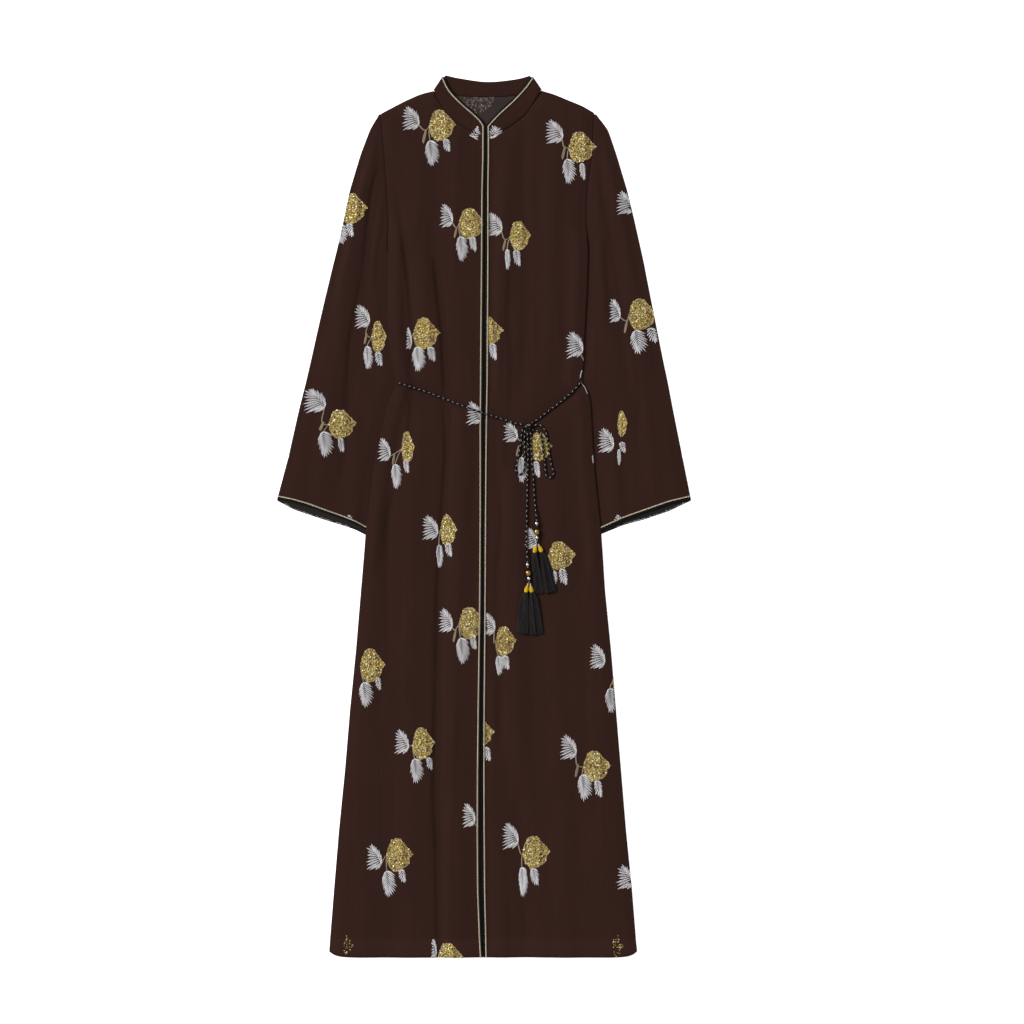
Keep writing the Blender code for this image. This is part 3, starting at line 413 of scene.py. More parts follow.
# sharp creases of each panel, high on one side and low on the other: drop, how sharp, reach to
# the sides, then the line that the crease follows
CREASES = {
    "front_left": (
        (3.0, 3.0, 26.0, (-83, 423), (-76, 365), (-69, 298), (-64, 202), (-62, 111), (-65, 58),
         (-70, -27), (-76, -142), (-77, -241), (-80, -342), (-81, -441), (-77, -542), (-75, -704)),
        (2.2, 3.0, 16.0, (-151, 538), (-143, 509), (-131, 432), (-122, 365), (-117, 298), (-119, 250),
         (-124, 221)),
        (1.6, 3.0, 14.0, (-117, 202), (-120, 156), (-130, 87)),
        (0.8, 3.5, 14.0, (-38, 620), (-40, 538)),
        (0.9, 4.0, 16.0, (-43, 500), (-45, 384)),
        (0.9, 7.0, 22.0, (-101, 498), (-102, 480), (-112, 413)),
        (1.3, 4.0, 18.0, (-142, 58), (-155, -1), (-157, -92)),
        (1.2, 5.0, 22.0, (-160, -70), (-157, -222), (-175, -312)),
        (0.8, 4.0, 16.0, (-27, 58), (-26, -41)),
        (1.1, 4.0, 18.0, (-40, -278), (-48, -441), (-53, -686)),
        (1.2, 2.5, 9.0, (-136, 208), (-128, 192), (-115, 176)),
    ),
    "front_right": (
        (1.2, 8.0, 26.0, (74, 567), (84, 500), (82, 442)),
        (1.5, 4.0, 20.0, (41, 423), (36, 317), (41, 226), (29, 58)),
        (1.0, 5.0, 20.0, (75, 375), (89, 250)),
        (0.7, 5.0, 20.0, (118, 375), (125, 250)),
        (1.5, 3.0, 18.0, (22, 58), (25, -22), (18, -92)),
        (1.0, 4.0, 18.0, (43, -17), (38, -166)),
        (1.0, 4.0, 18.0, (20, -262), (22, -382)),
        (1.3, 5.0, 20.0, (30, -470), (32, -542), (38, -704)),
        (1.2, 4.0, 18.0, (58, -608), (67, -678)),
        (-1.0, 3.0, 10.0, (160, 212), (150, 192), (131, 170)),
        (-0.9, 3.0, 12.0, (165, 205), (166, 170), (170, 106)),
    ),
    "sleeve_left": (
        (2.2, 4.0, 20.0, (-163, 572), (-179, 528), (-187, 461), (-194, 394), (-203, 346), (-215, 284),
         (-219, 212), (-227, 92), (-235, 48)),
        (1.6, 3.5, 12.0, (-158, 522), (-163, 461), (-171, 423), (-175, 346)),
        (0.8, 6.0, 20.0, (-222, 482), (-246, 362), (-266, 266)),
    ),
    "sleeve_right": (
        (1.8, 4.0, 18.0, (185, 538), (200, 442), (216, 346), (235, 274), (245, 202), (245, 138)),
        (1.5, 3.5, 13.0, (190, 461), (197, 298)),
        (1.6, 4.0, 14.0, (213, 122), (216, 87), (221, 28)),
        (0.8, 6.0, 20.0, (226, 458), (250, 346), (274, 218)),
    ),
}

# belt stretches, each from its own outer end; bow loops and tails start at the knot
BELT = {
    "belt_front_left": ((-138.6, 213.6), (-93.1, 199.0), (-58.6, 185.9), (-26.7, 173.8), (0.0, 164.5),
                        (33.4, 153.9), (52.0, 148.2), (62.4, 146.4)),
    "belt_front_right": ((154.8, 214.6), (142.2, 200.3), (121.0, 181.8), (105.1, 169.9), (86.4, 155.4),
                         (76.9, 149.2)),
    "bow_loop_left": ((62.5, 141.2), (60.4, 134.0), (59.2, 121.0), (57.0, 106.0), (53.2, 89.0),
                      (50.6, 76.0), (51.8, 69.6), (56.4, 66.6), (61.6, 68.6), (64.4, 75.0), (65.2, 88.0),
                      (65.0, 104.0), (64.4, 120.0), (64.6, 131.0), (65.4, 136.9)),
    "bow_loop_right": ((78.7, 144.6), (85.6, 146.2), (92.4, 143.8), (97.4, 137.0), (100.6, 127.0),
                       (103.2, 112.0), (104.8, 97.0), (107.6, 81.0), (110.8, 71.0), (109.6, 64.4),
                       (104.7, 61.4), (99.7, 64.4), (98.2, 71.0), (97.6, 81.0), (95.6, 94.0), (94.4, 108.0),
                       (93.2, 121.0), (89.8, 131.4), (83.6, 137.2), (77.3, 138.2)),
    "belt_tail_left": ((68.9, 135.6), (69.9, 120.0), (70.4, 106.0), (70.0, 80.0), (69.5, 58.0),
                       (68.6, 20.0), (68.3, -6.0), (68.5, -46.0), (69.2, -74.0), (70.6, -90.9),
                       (71.6, -100.5), (72.1, -106.2)),
    "belt_tail_right": ((73.9, 136.2), (75.2, 124.0), (75.8, 106.0), (77.0, 80.0), (78.8, 58.0),
                        (81.0, 24.0), (83.6, -2.0), (84.2, -10.9), (84.3, -25.3), (84.5, -36.5),
                        (85.0, -43.0)),
}
# beads on each tail: silver, gold, silver
BEADS = {
    "left": ((69.4, -77.5), (70.6, -90.9), (71.5, -99.7)),
    "right": ((84.2, -11.9), (84.3, -25.3), (84.45, -34.4)),
}
BEAD_LABELS = ("silver_upper", "gold", "silver_lower")
# caps and tassels: top of the cap, its low end, end of the tassel, half width there
TASSELS = {
    "left_a": ((70.4, -107.4), (66.9, -121.0), (61.8, -188.5), 9.2),
    "left_b": ((73.9, -107.4), (76.2, -121.0), (83.2, -190.0), 10.6),
    "right_a": ((83.2, -44.4), (80.9, -57.6), (88.6, -124.0), 7.2),
    "right_b": ((86.9, -44.2), (92.0, -56.6), (106.4, -122.9), 10.2),
}
# strands of the belt's braid: look, turns for each of the cord's own, share of its radius that they
# lie out and that they are thick, step along them, how many, and their sides
BRAID = (
    ("Cord", 0.6, 0.47, 0.56, 0.0008, 3, 6),
    ("Fleck", 1.0, 0.80, 0.27, 0.0006, 1, 5),
    ("Fleck", -1.0, 0.80, 0.27, 0.0006, 1, 5),
)
# turns of cord round the knot: shift, tilt, half width and half height
KNOT_TURNS = ((-3.2, 0.5, 4.6, 2.1), (0.0, 0.45, 5.3, 2.4), (3.2, 0.4, 4.6, 2.1), (0.0, -0.9, 4.4, 2.0))
# a cap from top to bottom: radius and share of its length
CAP = ((0.3, 0.0), (0.8, 0.02), (0.9, 0.24), (1.7, 0.34), (2.5, 0.5), (CAP_RADIUS - 0.2, 0.74),
       (CAP_RADIUS - 0.3, 0.9), (CAP_RADIUS - 1.0, 1.0), (0.3, 1.0))
# how wide a tassel is along its length, as shares of its end, on its outer and inner side
FRINGE_FAN_AT = (0.0, 0.06, 0.18, 0.5, 1.0)
FRINGE_FAN = ((0.48, 0.74, 0.88, 0.97), (0.30, 0.42, 0.62, 0.88))
# shares of a tassel's length, and how far its strands lie above and below its middle there
FRINGE_DEPTH = ((0.0, 0.12, 1.0), (1.6, 1.9, 1.45))

# flat sizes of the cut pieces: width, length, area in square metres and what each lies on
SHEETS = {
    "back": ((0.495, 1.387), 0.527, ()),
    "front_left": ((0.25, 1.387), 0.257, ("back",)),
    "front_right": ((0.25, 1.387), 0.264, ("back",)),
    "sleeve_left": ((0.33, 0.678), 0.140, ()),
    "sleeve_right": ((0.33, 0.678), 0.140, ()),
    "collar": ((0.42, 0.029), 0.0105, ("back",)),
}
TRIM_NODES = ("edging_", "gold_cord_", "cuff_edging_", "cuff_gold_")

# embroidered shapes in their own box, across from left to right and down from top to bottom: where
# the stem enters, the tip, and the outline on both sides between the two
LEAVES = {
    "leaf": (
        (0.97, 0.74), (0.28, 0.0),
        ((0.82, 0.88), (0.62, 0.97), (0.40, 0.90), (0.13, 0.99), (0.02, 0.80), (0.07, 0.60), (0.08, 0.40),
         (0.04, 0.20)),
        ((1.0, 0.52), (0.95, 0.34), (0.78, 0.18), (0.52, 0.06)),
    ),
    "low_leaf": (
        (0.34, 0.0), (0.50, 1.0),
        ((0.12, 0.12), (0.0, 0.35), (0.03, 0.52), (0.12, 0.66), (0.20, 0.80), (0.30, 0.96)),
        ((0.62, 0.03), (0.87, 0.10), (0.90, 0.28), (1.0, 0.46), (0.98, 0.66), (0.84, 0.84), (0.66, 0.92)),
    ),
    "small_leaf": (
        (0.40, 0.0), (0.92, 1.0),
        ((0.06, 0.06), (0.02, 0.30), (0.08, 0.52), (0.22, 0.78), (0.48, 0.88)),
        ((0.72, 0.02), (0.98, 0.20), (0.98, 0.56), (1.0, 0.82)),
    ),
    "left_cut_leaf": (
        (0.35, 0.84), (0.75, 0.0),
        ((0.0, 0.68), (0.38, 0.30)),
        ((0.69, 1.0), (0.85, 0.72), (1.0, 0.47), (0.80, 0.42)),
    ),
    "right_cut_leaf": (
        (0.25, 0.90), (0.51, 0.06),
        ((0.03, 0.97), (0.0, 0.56), (0.14, 0.18), (0.28, 0.0)),
        ((0.55, 0.75), (1.0, 0.47), (0.80, 0.25)),
    ),
    "leaf_tips": (
        (0.5, 1.0), (0.45, 0.0),
        ((0.0, 0.85), (0.15, 0.40)),
        ((1.0, 0.95), (0.95, 0.45)),
    ),
}
FLOWER = (
    (0.0, 0.52), (0.08, 0.26), (0.18, 0.06), (0.36, 0.0), (0.53, 0.02), (0.67, 0.16), (0.86, 0.34),
    (1.0, 0.47), (0.86, 0.60), (0.85, 0.74), (0.74, 0.85), (0.55, 0.94), (0.29, 1.0), (0.11, 0.85),
    (0.04, 0.70),
)
FLOWER_BAND = (0.60, 0.80)
# embroidered motifs in the order of their making: panel, then for each motif on it the shape,
# middle across and up, width and height
SPRIGS = (
    ("front_left",
     ("flower", -66.2, 624.3, 43.2, 51.2), ("leaf", -117.4, 635.5, 27.5, 41.6),
     ("low_leaf", -82.6, 579.2, 23.8, 41.0), ("small_leaf", -59.8, 591.5, 12.8, 21.6),
     ("bud", -94.6, 606.7, 9.6, 22.4)),
    ("front_right",
     ("flower", 157.3, 589.4, 44.8, 50.4), ("leaf", 111.5, 613.8, 29.1, 41.1),
     ("low_leaf", 136.5, 550.1, 22.4, 40.0), ("small_leaf", 157.4, 550.1, 9.6, 27.2),
     ("bud", 127.7, 580.5, 8.8, 21.6)),
    ("front_left",
     ("flower", -18.4, 467.5, 44.0, 49.6), ("leaf", -60.5, 479.8, 20.8, 41.0),
     ("low_leaf", -34.9, 426.4, 19.5, 40.0), ("small_leaf", -17.6, 433.9, 12.2, 24.6),
     ("bud", -44.8, 453.1, 7.2, 17.6)),
    ("front_right",
     ("flower", 58.4, 447.5, 34.4, 48.8), ("leaf", 15.2, 465.9, 27.2, 40.8),
     ("low_leaf", 38.1, 409.1, 8.6, 34.4), ("small_leaf", 52.5, 411.5, 12.8, 26.4),
     ("bud", 33.1, 433.4, 8.0, 19.2)),
    ("sleeve_left",
     ("flower", -208.0, 491.5, 44.8, 51.2), ("small_leaf", -214.4, 456.3, 12.8, 24.0),
     ("low_leaf", -226.4, 449.9, 17.6, 32.0)),
    ("sleeve_right",
     ("flower", 157.3, 589.4, 44.8, 50.4), ("leaf", 224.8, 500.3, 28.8, 40.0)),
    ("sleeve_left",
     ("flower", -167.4, 285.9, 24.8, 52.8), ("leaf", -195.2, 318.7, 24.8, 40.0),
     ("low_leaf", -184.8, 252.3, 15.2, 38.4), ("small_leaf", -168.3, 249.9, 12.8, 24.0),
     ("bud", -188.8, 283.5, 7.2, 17.6)),
    ("front_left",
     ("flower", -91.5, 291.5, 43.2, 51.2), ("leaf", -120.0, 284.3, 8.0, 38.4),
     ("low_leaf", -104.0, 249.9, 22.4, 40.0), ("small_leaf", -84.0, 257.9, 14.4, 24.0)),
    ("front_right",
     ("flower", 9.3, 295.5, 44.8, 48.0), ("small_leaf", 14.4, 261.9, 12.8, 27.2),
     ("leaf", 144.3, 273.9, 27.2, 44.8)),
    ("sleeve_right",
     ("flower", 254.4, 321.9, 48.0, 51.2), ("leaf", 208.6, 328.3, 18.4, 41.6),
     ("low_leaf", 247.5, 277.1, 28.8, 38.4), ("small_leaf", 268.8, 288.3, 17.6, 24.0),
     ("bud", 227.2, 302.7, 8.0, 20.8)),
    ("sleeve_left",
     ("flower", -225.6, 147.0, 45.6, 47.2), ("leaf", -271.4, 184.8, 36.8, 41.6),
     ("low_leaf", -252.8, 114.2, 25.6, 40.8), ("small_leaf", -228.5, 112.6, 10.4, 24.8),
     ("bud", -258.9, 143.5, 11.2, 14.4)),
    ("front_left",
     ("flower", -121.1, 109.1, 20.8, 52.8), ("leaf", -159.7, 105.9, 20.0, 41.6),
     ("low_leaf", -139.7, 62.7, 16.8, 40.0), ("small_leaf", -124.2, 78.7, 9.6, 22.4),
     ("bud", -144.0, 90.7, 6.4, 19.2), ("leaf", -16.8, 164.3, 24.0, 40.0)),
    ("front_right",
     ("flower", 91.2, 110.7, 35.2, 48.0), ("leaf", 42.1, 133.6, 23.2, 35.2),
     ("low_leaf", 61.6, 73.1, 17.6, 40.8), ("small_leaf", 83.8, 73.9, 12.2, 26.2),
     ("bud", 54.4, 104.3, 7.2, 17.6)),
    ("sleeve_right",
     ("flower", 221.6, 147.5, 16.0, 43.2), ("leaf", 194.4, 120.8, 25.6, 43.2),
     ("small_leaf", 221.3, 109.1, 11.2, 17.6), ("low_leaf", 216.3, 93.1, 5.6, 27.2)),
    ("front_left",
     ("flower", -56.3, -22.6, 27.2, 51.2), ("leaf", -86.4, -18.4, 25.6, 42.4),
     ("low_leaf", -70.4, -65.3, 11.2, 38.4), ("small_leaf", -56.8, -54.9, 12.0, 23.2)),
    ("front_right",
     ("flower", 124.8, -62.9, 44.8, 46.4), ("leaf", 74.4, -35.7, 19.2, 38.4),
     ("small_leaf", 126.4, -98.1, 14.4, 26.4), ("low_leaf", 113.6, -98.9, 8.0, 22.4)),
    ("front_left",
     ("flower", -18.4, -170.9, 44.0, 52.0), ("leaf", -61.6, -166.9, 22.4, 42.4),
     ("low_leaf", -33.6, -215.7, 22.4, 41.6), ("small_leaf", -17.3, -202.9, 11.2, 24.0),
     ("bud", -46.4, -190.9, 8.0, 20.8)),
    ("front_right",
     ("flower", 35.2, -199.7, 33.6, 48.0), ("leaf", 4.8, -171.7, 25.6, 41.6),
     ("low_leaf", 24.8, -239.7, 12.8, 32.0), ("small_leaf", 34.4, -234.9, 12.8, 24.0)),
    ("front_left",
     ("flower", -177.6, -238.9, 40.0, 56.0), ("low_leaf", -188.0, -286.1, 24.0, 40.0),
     ("small_leaf", -169.1, -268.5, 9.6, 20.8)),
    ("front_right",
     ("flower", 227.2, -263.7, 44.8, 48.0), ("leaf", 180.8, -224.6, 24.8, 43.2),
     ("low_leaf", 204.8, -295.7, 22.4, 40.0)),
    ("front_left",
     ("flower", -96.0, -363.4, 36.8, 52.8), ("leaf", -132.0, -360.5, 23.2, 42.4),
     ("low_leaf", -107.2, -407.7, 21.6, 40.0), ("small_leaf", -86.9, -396.5, 11.2, 20.8)),
    ("front_right",
     ("flower", -4.8, -346.1, 44.8, 48.0), ("small_leaf", 4.8, -381.3, 12.8, 24.0),
     ("flower", 180.8, -399.7, 44.8, 50.4), ("leaf", 134.4, -369.3, 26.4, 42.4),
     ("low_leaf", 161.3, -434.4, 24.0, 42.4), ("small_leaf", 182.4, -436.5, 13.6, 27.2),
     ("bud", 148.8, -406.9, 8.0, 20.8)),
    ("front_left",
     ("flower", -134.4, -541.3, 43.2, 54.4), ("leaf", -176.0, -545.3, 24.8, 44.0),
     ("low_leaf", -151.5, -588.5, 23.2, 42.4), ("small_leaf", -130.7, -575.7, 12.0, 22.4),
     ("leaf", -24.8, -478.1, 20.8, 41.6)),
    ("front_right",
     ("flower", 84.0, -537.3, 45.6, 52.8), ("leaf", 41.6, -511.0, 26.4, 44.8),
     ("low_leaf", 62.9, -585.3, 15.2, 48.0), ("small_leaf", 80.5, -577.3, 14.4, 28.0),
     ("leaf", 225.6, -577.3, 27.2, 41.6)),
    ("front_left",
     ("flower", -52.8, -706.9, 43.2, 51.2), ("leaf", -80.0, -690.9, 8.0, 35.2)),
    ("collar",
     ("left_cut_leaf", -13.6, 613.6, 19.0, 23.0)),
    ("front_left",
     ("left_cut_leaf", -13.6, 613.6, 19.0, 23.0)),
    ("collar",
     ("right_cut_leaf", 19.5, 614.0, 23.0, 23.0)),
    ("front_right",
     ("right_cut_leaf", 19.5, 614.0, 23.0, 23.0)),
    ("sleeve_left",
     ("leaf_tips", -215.0, -2.0, 12.0, 10.0)),
    ("sleeve_right",
     ("leaf_tips", 214.2, -1.8, 11.8, 10.0)),
    ("front_left",
     ("specks", -216.0, -686.9, 16.0, 35.2)),
    ("front_right",
     ("specks", 214.4, -686.9, 19.2, 35.2)),
    ("back",
     ("wrong_side", -12.0, 657.1, 57.6, 28.8)),
)
MOTIFS = [(panel, *motif) for panel, *motifs in SPRIGS for motif in motifs]
# stems and leaf edges that lead under the trimming or a fold: panel, kind of thread and line
LOOSE_STEMS = (
    ("front_right", "gold_threads", ((152.0, 263.0), (156.0, 256.0), (160.0, 249.0))),
    ("front_left", "gold_threads", ((-17.0, -488.0), (-13.0, -493.0), (-8.0, -497.0))),
    ("front_right", "leaves", ((154.4, 214.8), (159.0, 209.8), (163.0, 203.4), (165.9, 195.6))),
    ("front_right", "leaves", ((156.6, 233.0), (155.0, 227.0), (153.9, 221.0))),
    ("front_right", "leaves", ((173.4, 97.0), (174.2, 91.0), (174.8, 85.0))),
)


class AbayaClothSettings(bpy.types.PropertyGroup):
    """The cloth's own sizes and colours."""
    thickness: bpy.props.FloatProperty(
        name="Cloth thickness", description="Thickness of the crepe", default=0.0007,
        min=0.0002, max=0.0012, unit="LENGTH")
    ripple: bpy.props.FloatProperty(
        name="Ripple", description="Height of the small uneven waves", default=0.0005,
        min=0.0, max=0.002, unit="LENGTH")
    crease: bpy.props.FloatProperty(
        name="Crease strength", description="Share of the creases' full drop", default=1.7,
        min=0.0, max=3.0, subtype="FACTOR")
    outside: bpy.props.FloatVectorProperty(
        name="Outside colour", description="Colour of the cloth's right side",
        default=(0.0258, 0.0102, 0.0074), min=0.0, max=1.0, subtype="COLOR")
    inside: bpy.props.FloatVectorProperty(
        name="Inside colour", description="Colour of the cloth's wrong side",
        default=(0.033, 0.0238, 0.0218), min=0.0, max=1.0, subtype="COLOR")
    # darker than the inside colour: the same wrong side, given painted shade where it shows inside the
    # sleeves at the cuffs
    sleeve_inside_painted_shade: bpy.props.FloatVectorProperty(
        name="Sleeve inside colour", description="Colour of the wrong side seen in the cuffs",
        default=(0.0185, 0.0155, 0.0145), min=0.0, max=1.0, subtype="COLOR")


class AbayaTrimSettings(bpy.types.PropertyGroup):
    """The edging and the gold cord beside it."""
    strand: bpy.props.FloatProperty(
        name="Gold strand radius", description="Radius of one strand of the gold cord", default=0.00064,
        min=0.0003, max=0.001, unit="LENGTH")
    pitch: bpy.props.FloatProperty(
        name="Gold cord pitch", description="Length of one full turn of the gold cord", default=0.0056,
        min=0.003, max=0.012, unit="LENGTH")
    gold: bpy.props.FloatVectorProperty(
        name="Gold", description="Colour of the gold cord", default=(0.52, 0.455, 0.34),
        min=0.0, max=1.0, subtype="COLOR")
    edging: bpy.props.FloatVectorProperty(
        name="Edging", description="Colour of the black binding", default=(0.0022, 0.0022, 0.0025),
        min=0.0, max=1.0, subtype="COLOR")


class AbayaBeltSettings(bpy.types.PropertyGroup):
    """The cord belt with its beads, caps and tassels."""
    pitch: bpy.props.FloatProperty(
        name="Braid pitch", description="Length of one full turn of a braided strand", default=0.0164,
        min=0.004, max=0.03, unit="LENGTH")
    tassel_strands: bpy.props.IntProperty(
        name="Tassel strands", description="Number of strands in each tassel", default=150, min=20, max=300)
    fringe: bpy.props.FloatVectorProperty(
        name="Tassels", description="Colour of the tassels", default=(0.0165, 0.0143, 0.0143),
        min=0.0, max=1.0, subtype="COLOR")
    caps: bpy.props.FloatVectorProperty(
        name="Caps", description="Colour of the wound caps", default=(0.60, 0.39, 0.010),
        min=0.0, max=1.0, subtype="COLOR")
    silver: bpy.props.FloatVectorProperty(
        name="Silver", description="Colour of the silver beads", default=(0.95, 0.95, 0.97),
        min=0.0, max=1.0, subtype="COLOR")


class AbayaEmbroiderySettings(bpy.types.PropertyGroup):
    """Threads and sequins of the leaves and flowers."""
    thread: bpy.props.FloatProperty(
        name="Thread radius", description="Radius of a satin stitch", default=0.00042,
        min=0.0001, max=0.001, unit="LENGTH")
    sequin: bpy.props.FloatProperty(
        name="Sequin radius", description="Radius of a sequin", default=0.00098,
        min=0.0005, max=0.003, unit="LENGTH")
    sequin_step: bpy.props.FloatProperty(
        name="Sequin spacing", description="Distance between sequins", default=0.0017,
        min=0.001, max=0.006, unit="LENGTH")
    seed: bpy.props.IntProperty(
        name="Seed", description="Start of the unevenness of the handwork", default=7, min=0, max=99)
    silver: bpy.props.FloatVectorProperty(
        name="Leaf thread", description="Colour of the leaves' silver thread", default=(0.505, 0.49, 0.525),
        min=0.0, max=1.0, subtype="COLOR")
    gold: bpy.props.FloatVectorProperty(
        name="Sequin gold", description="Colour of the sequins", default=(0.41, 0.30, 0.070),
        min=0.0, max=1.0, subtype="COLOR")


class AbayaStageSettings(bpy.types.PropertyGroup):
    """Floor and light."""
    floor: bpy.props.FloatProperty(
        name="Floor tone", description="Lightness of the pale floor", default=0.93, min=0.0, max=1.0)
    surround: bpy.props.FloatProperty(
        name="Surrounding light", description="Strength of the even light", default=0.52, min=0.0, max=5.0)
    key: bpy.props.FloatProperty(
        name="Key light", description="Strength of the light from the left", default=3.1, min=0.0, max=20.0)


def smooth(value):
    """0 below 0, 1 above 1, with a soft S between."""
    value = np.clip(value, 0.0, 1.0)
    return value * value * (3.0 - 2.0 * value)


def mix(first, second, share):
    """A value at a share of the way from one to another."""
    return first + (second - first) * share


def read_table(table, key, column):
    """The value in a column at a key of the first column, on straight lines between the rows."""
    rising = sorted(table)
    return np.interp(key, [row[0] for row in rising], [row[column] for row in rising])


def softened(table, key, column):
    """The same with its corners rounded over a few millimetres."""
    steps = (-1.0, -0.5, 0.0, 0.5, 1.0)
    return sum(read_table(table, np.asarray(key) + step * SOFTEN, column) for step in steps) / len(steps)


def distances(points):
    """Length from a polyline's start to each of its points."""
    points = np.asarray(points, float)
    steps = np.linalg.norm(np.diff(points, axis=0), axis=1)
    return np.concatenate(([0.0], np.cumsum(steps)))


def at_shares(points, shares):
    """Points at shares of a polyline's length."""
    points = np.asarray(points, float)
    run = distances(points)
    return np.stack([np.interp(np.asarray(shares) * run[-1], run, column) for column in points.T], axis=-1)


def curve_through(points):
    """A dense smooth curve through a few points."""
    ends = np.asarray([points[0], *points, points[-1]], float)
    share = np.arange(ROUTE_STEPS)[:, None] / ROUTE_STEPS
    fine = []
    for a, b, c, d in zip(ends, ends[1:], ends[2:], ends[3:]):
        fine.append(0.5 * (2.0 * b + (c - a) * share + (2.0 * a - 5.0 * b + 4.0 * c - d) * share ** 2
                           + (3.0 * b - a - 3.0 * c + d) * share ** 3))
    return np.concatenate([*fine, ends[-1:]])


def smooth_route(points, step):
    """Points at even steps on a smooth curve through a route's own points, and its length."""
    fine = curve_through(points)
    length = distances(fine)[-1]
    count = max(4, round(length / step))
    return at_shares(fine, np.linspace(0.0, 1.0, count + 1)), length


def outward(side):
    """The way from the middle of the garment to a side."""
    return -1.0 if side == "left" else 1.0


def body_side(side, y):
    """Place across of the body's side edge at a height."""
    tip_x, tip_y = SHOULDER[side][0]
    rows = ((tip_y, *(tip_x,) * 4),) + BODY
    return softened(rows, y, LEFT if side == "left" else RIGHT)


def opening_edge(side, y):
    """Place across of a front's free edge at a height."""
    return softened(BODY, y, MIDDLE) + outward(side) * softened(BODY, y, HALF_GAP)


def top_line(side, x):
    """Height of the shoulder and neck seam of a front at a place across."""
    shoulder = curve_through(SHOULDER[side])
    neck = curve_through((SHOULDER[side][-1], *NECK_SEAM[side]))
    line = np.concatenate([shoulder, neck[1:]])
    order = np.argsort(line[:, 0])
    return np.interp(x, line[order, 0], line[order, 1])


def fold_height(panel, x, y):
    """Height that the lengthwise folds of a panel add."""
    total = np.zeros_like(x)
    for top, middle, low, half_width, crest in FOLDS[panel]:
        line = np.interp(y, (low[1], middle[1], top[1]), (low[0], middle[0], top[0]))
        fade = smooth((top[1] + FOLD_FADE - y) / FOLD_FADE) * smooth((y - low[1] + FOLD_FADE) / FOLD_FADE)
        total += crest * fade * np.exp(-(((x - line) / half_width) ** 2))
    return total


def crease_height(panel, x, y):
    """The sharp creases of a panel: a step down from left to right that dies away on both sides."""
    total = np.zeros_like(x)
    for drop, sharp, reach, *points in CREASES[panel]:
        top, low = points[0][1], points[-1][1]
        line = curve_through(points)[::-1]
        distance = x - np.interp(y, line[:, 1], line[:, 0])
        end = min(CREASE_END, CREASE_END_SHARE * (top - low))
        through_hem = 1.0 if low < BODY[-1][HEIGHT] + end else 0.0
        fade = smooth((top - y) / end) * smooth((y - low) / end + through_hem)
        away = np.exp(-((np.abs(distance) / reach) ** CREASE_FALL))
        total -= 0.5 * drop * fade * np.tanh(distance / sharp) * away
    return total


def ripple(x, y, seed):
    """Small uneven waves of laid cloth, longer along the garment than across it."""
    places = zip(x.ravel(), y.ravel())
    values = [noise.noise(Vector((a * RIPPLE_ACROSS, b * RIPPLE_ALONG, seed))) for a, b in places]
    return bpy.context.scene.abaya_cloth.ripple / MM * np.array(values).reshape(x.shape)


def belt_pinch(x, y):
    """1 on the belt's line and 0 away from it."""
    line = BELT["belt_front_left"] + BELT["belt_front_right"]
    return np.exp(-(((y - read_table(line, x, 1)) / BELT_PINCH_REACH) ** 2))


def back_lift(side_distance, y):
    """Height of the back panel's underside: its sides lie over the sleeves below the armpits."""
    lengthwise = smooth((LIFT_TOP + LIFT_LENGTH_FADE - y) / LIFT_LENGTH_FADE)
    lengthwise = lengthwise * smooth((y - LIFT_LOW + LIFT_LENGTH_FADE) / LIFT_LENGTH_FADE)
    return LIFT * lengthwise * (1.0 - smooth((side_distance - LIFT_FULL_TO) / LIFT_FADES_OVER))


def edge_drop(distance):
    """Cloth turned under at a seam or edge sinks a little there."""
    return EDGE_DROP * np.exp(-distance / EDGE_DROP_REACH)


def front_height(side, x, y, side_distance, edge_distance, top_distance):
    """Height of a front's upper side."""
    panel = "front_" + side
    away = smooth((edge_distance - PLACKET_WIDTH) / PLACKET_FADE)
    pinch = belt_pinch(x, y)
    crease = bpy.context.scene.abaya_cloth.crease
    creased = crease * crease_height(panel, x, y) * (1.0 - CREASE_AT_BELT * pinch)
    folded = np.maximum(BODY_PUFF + fold_height(panel, x, y) + creased, CREASED_GAP)
    full = mix(PLACKET_PUFF, folded, away)
    full = full * (1.0 - BELT_PINCH * pinch * away)
    neck_point = SHOULDER[side][-1][0]
    at_top = mix(LEAST_GAP, PLACKET_PUFF, smooth(outward(side) * (neck_point - x) / NECK_POINT_FADE))
    full = mix(at_top, full, smooth(top_distance / SHOULDER_ROLL))
    gap = mix(LEAST_GAP, full, smooth(side_distance / SIDE_ROLL))
    waves = ripple(x, y, outward(side)) * away * smooth(side_distance / SIDE_ROLL)
    top = back_lift(side_distance, y) + 2.0 * WALL + gap + waves
    top = top + HEM_RISE * smooth((HEM_LINE - y) / HEM_SOFT)
    return (top - edge_drop(side_distance) - TOP_DROP_SHARE * edge_drop(top_distance)
            - PLACKET_DROP_SHARE * edge_drop(edge_distance))


def front_distances(width):
    """Distances of a front's columns from its side edge, closer together near both edges."""
    start, end = NEAR_SIDE[-1], width - NEAR_OPENING[0]
    between = np.linspace(start, end, COLUMNS_BETWEEN + 2)[1:-1]
    return np.concatenate([NEAR_SIDE, between, width - np.array(NEAR_OPENING)])


def hem_shift(side_distance, y):
    """The hem's corners are a little rounded."""
    low = smooth(1.0 - (y - BODY[-1][HEIGHT]) / HEM_CORNER_HEIGHT)
    return low * HEM_CORNER_RISE * np.exp(-side_distance / HEM_CORNER_REACH)


def body_heights():
    """Heights of the body's rows from the shoulder tips down to the hem."""
    first, last = BODY[0][HEIGHT], BODY[-1][HEIGHT]
    return np.linspace(first, last, round((first - last) / ROW_STEP) + 1)


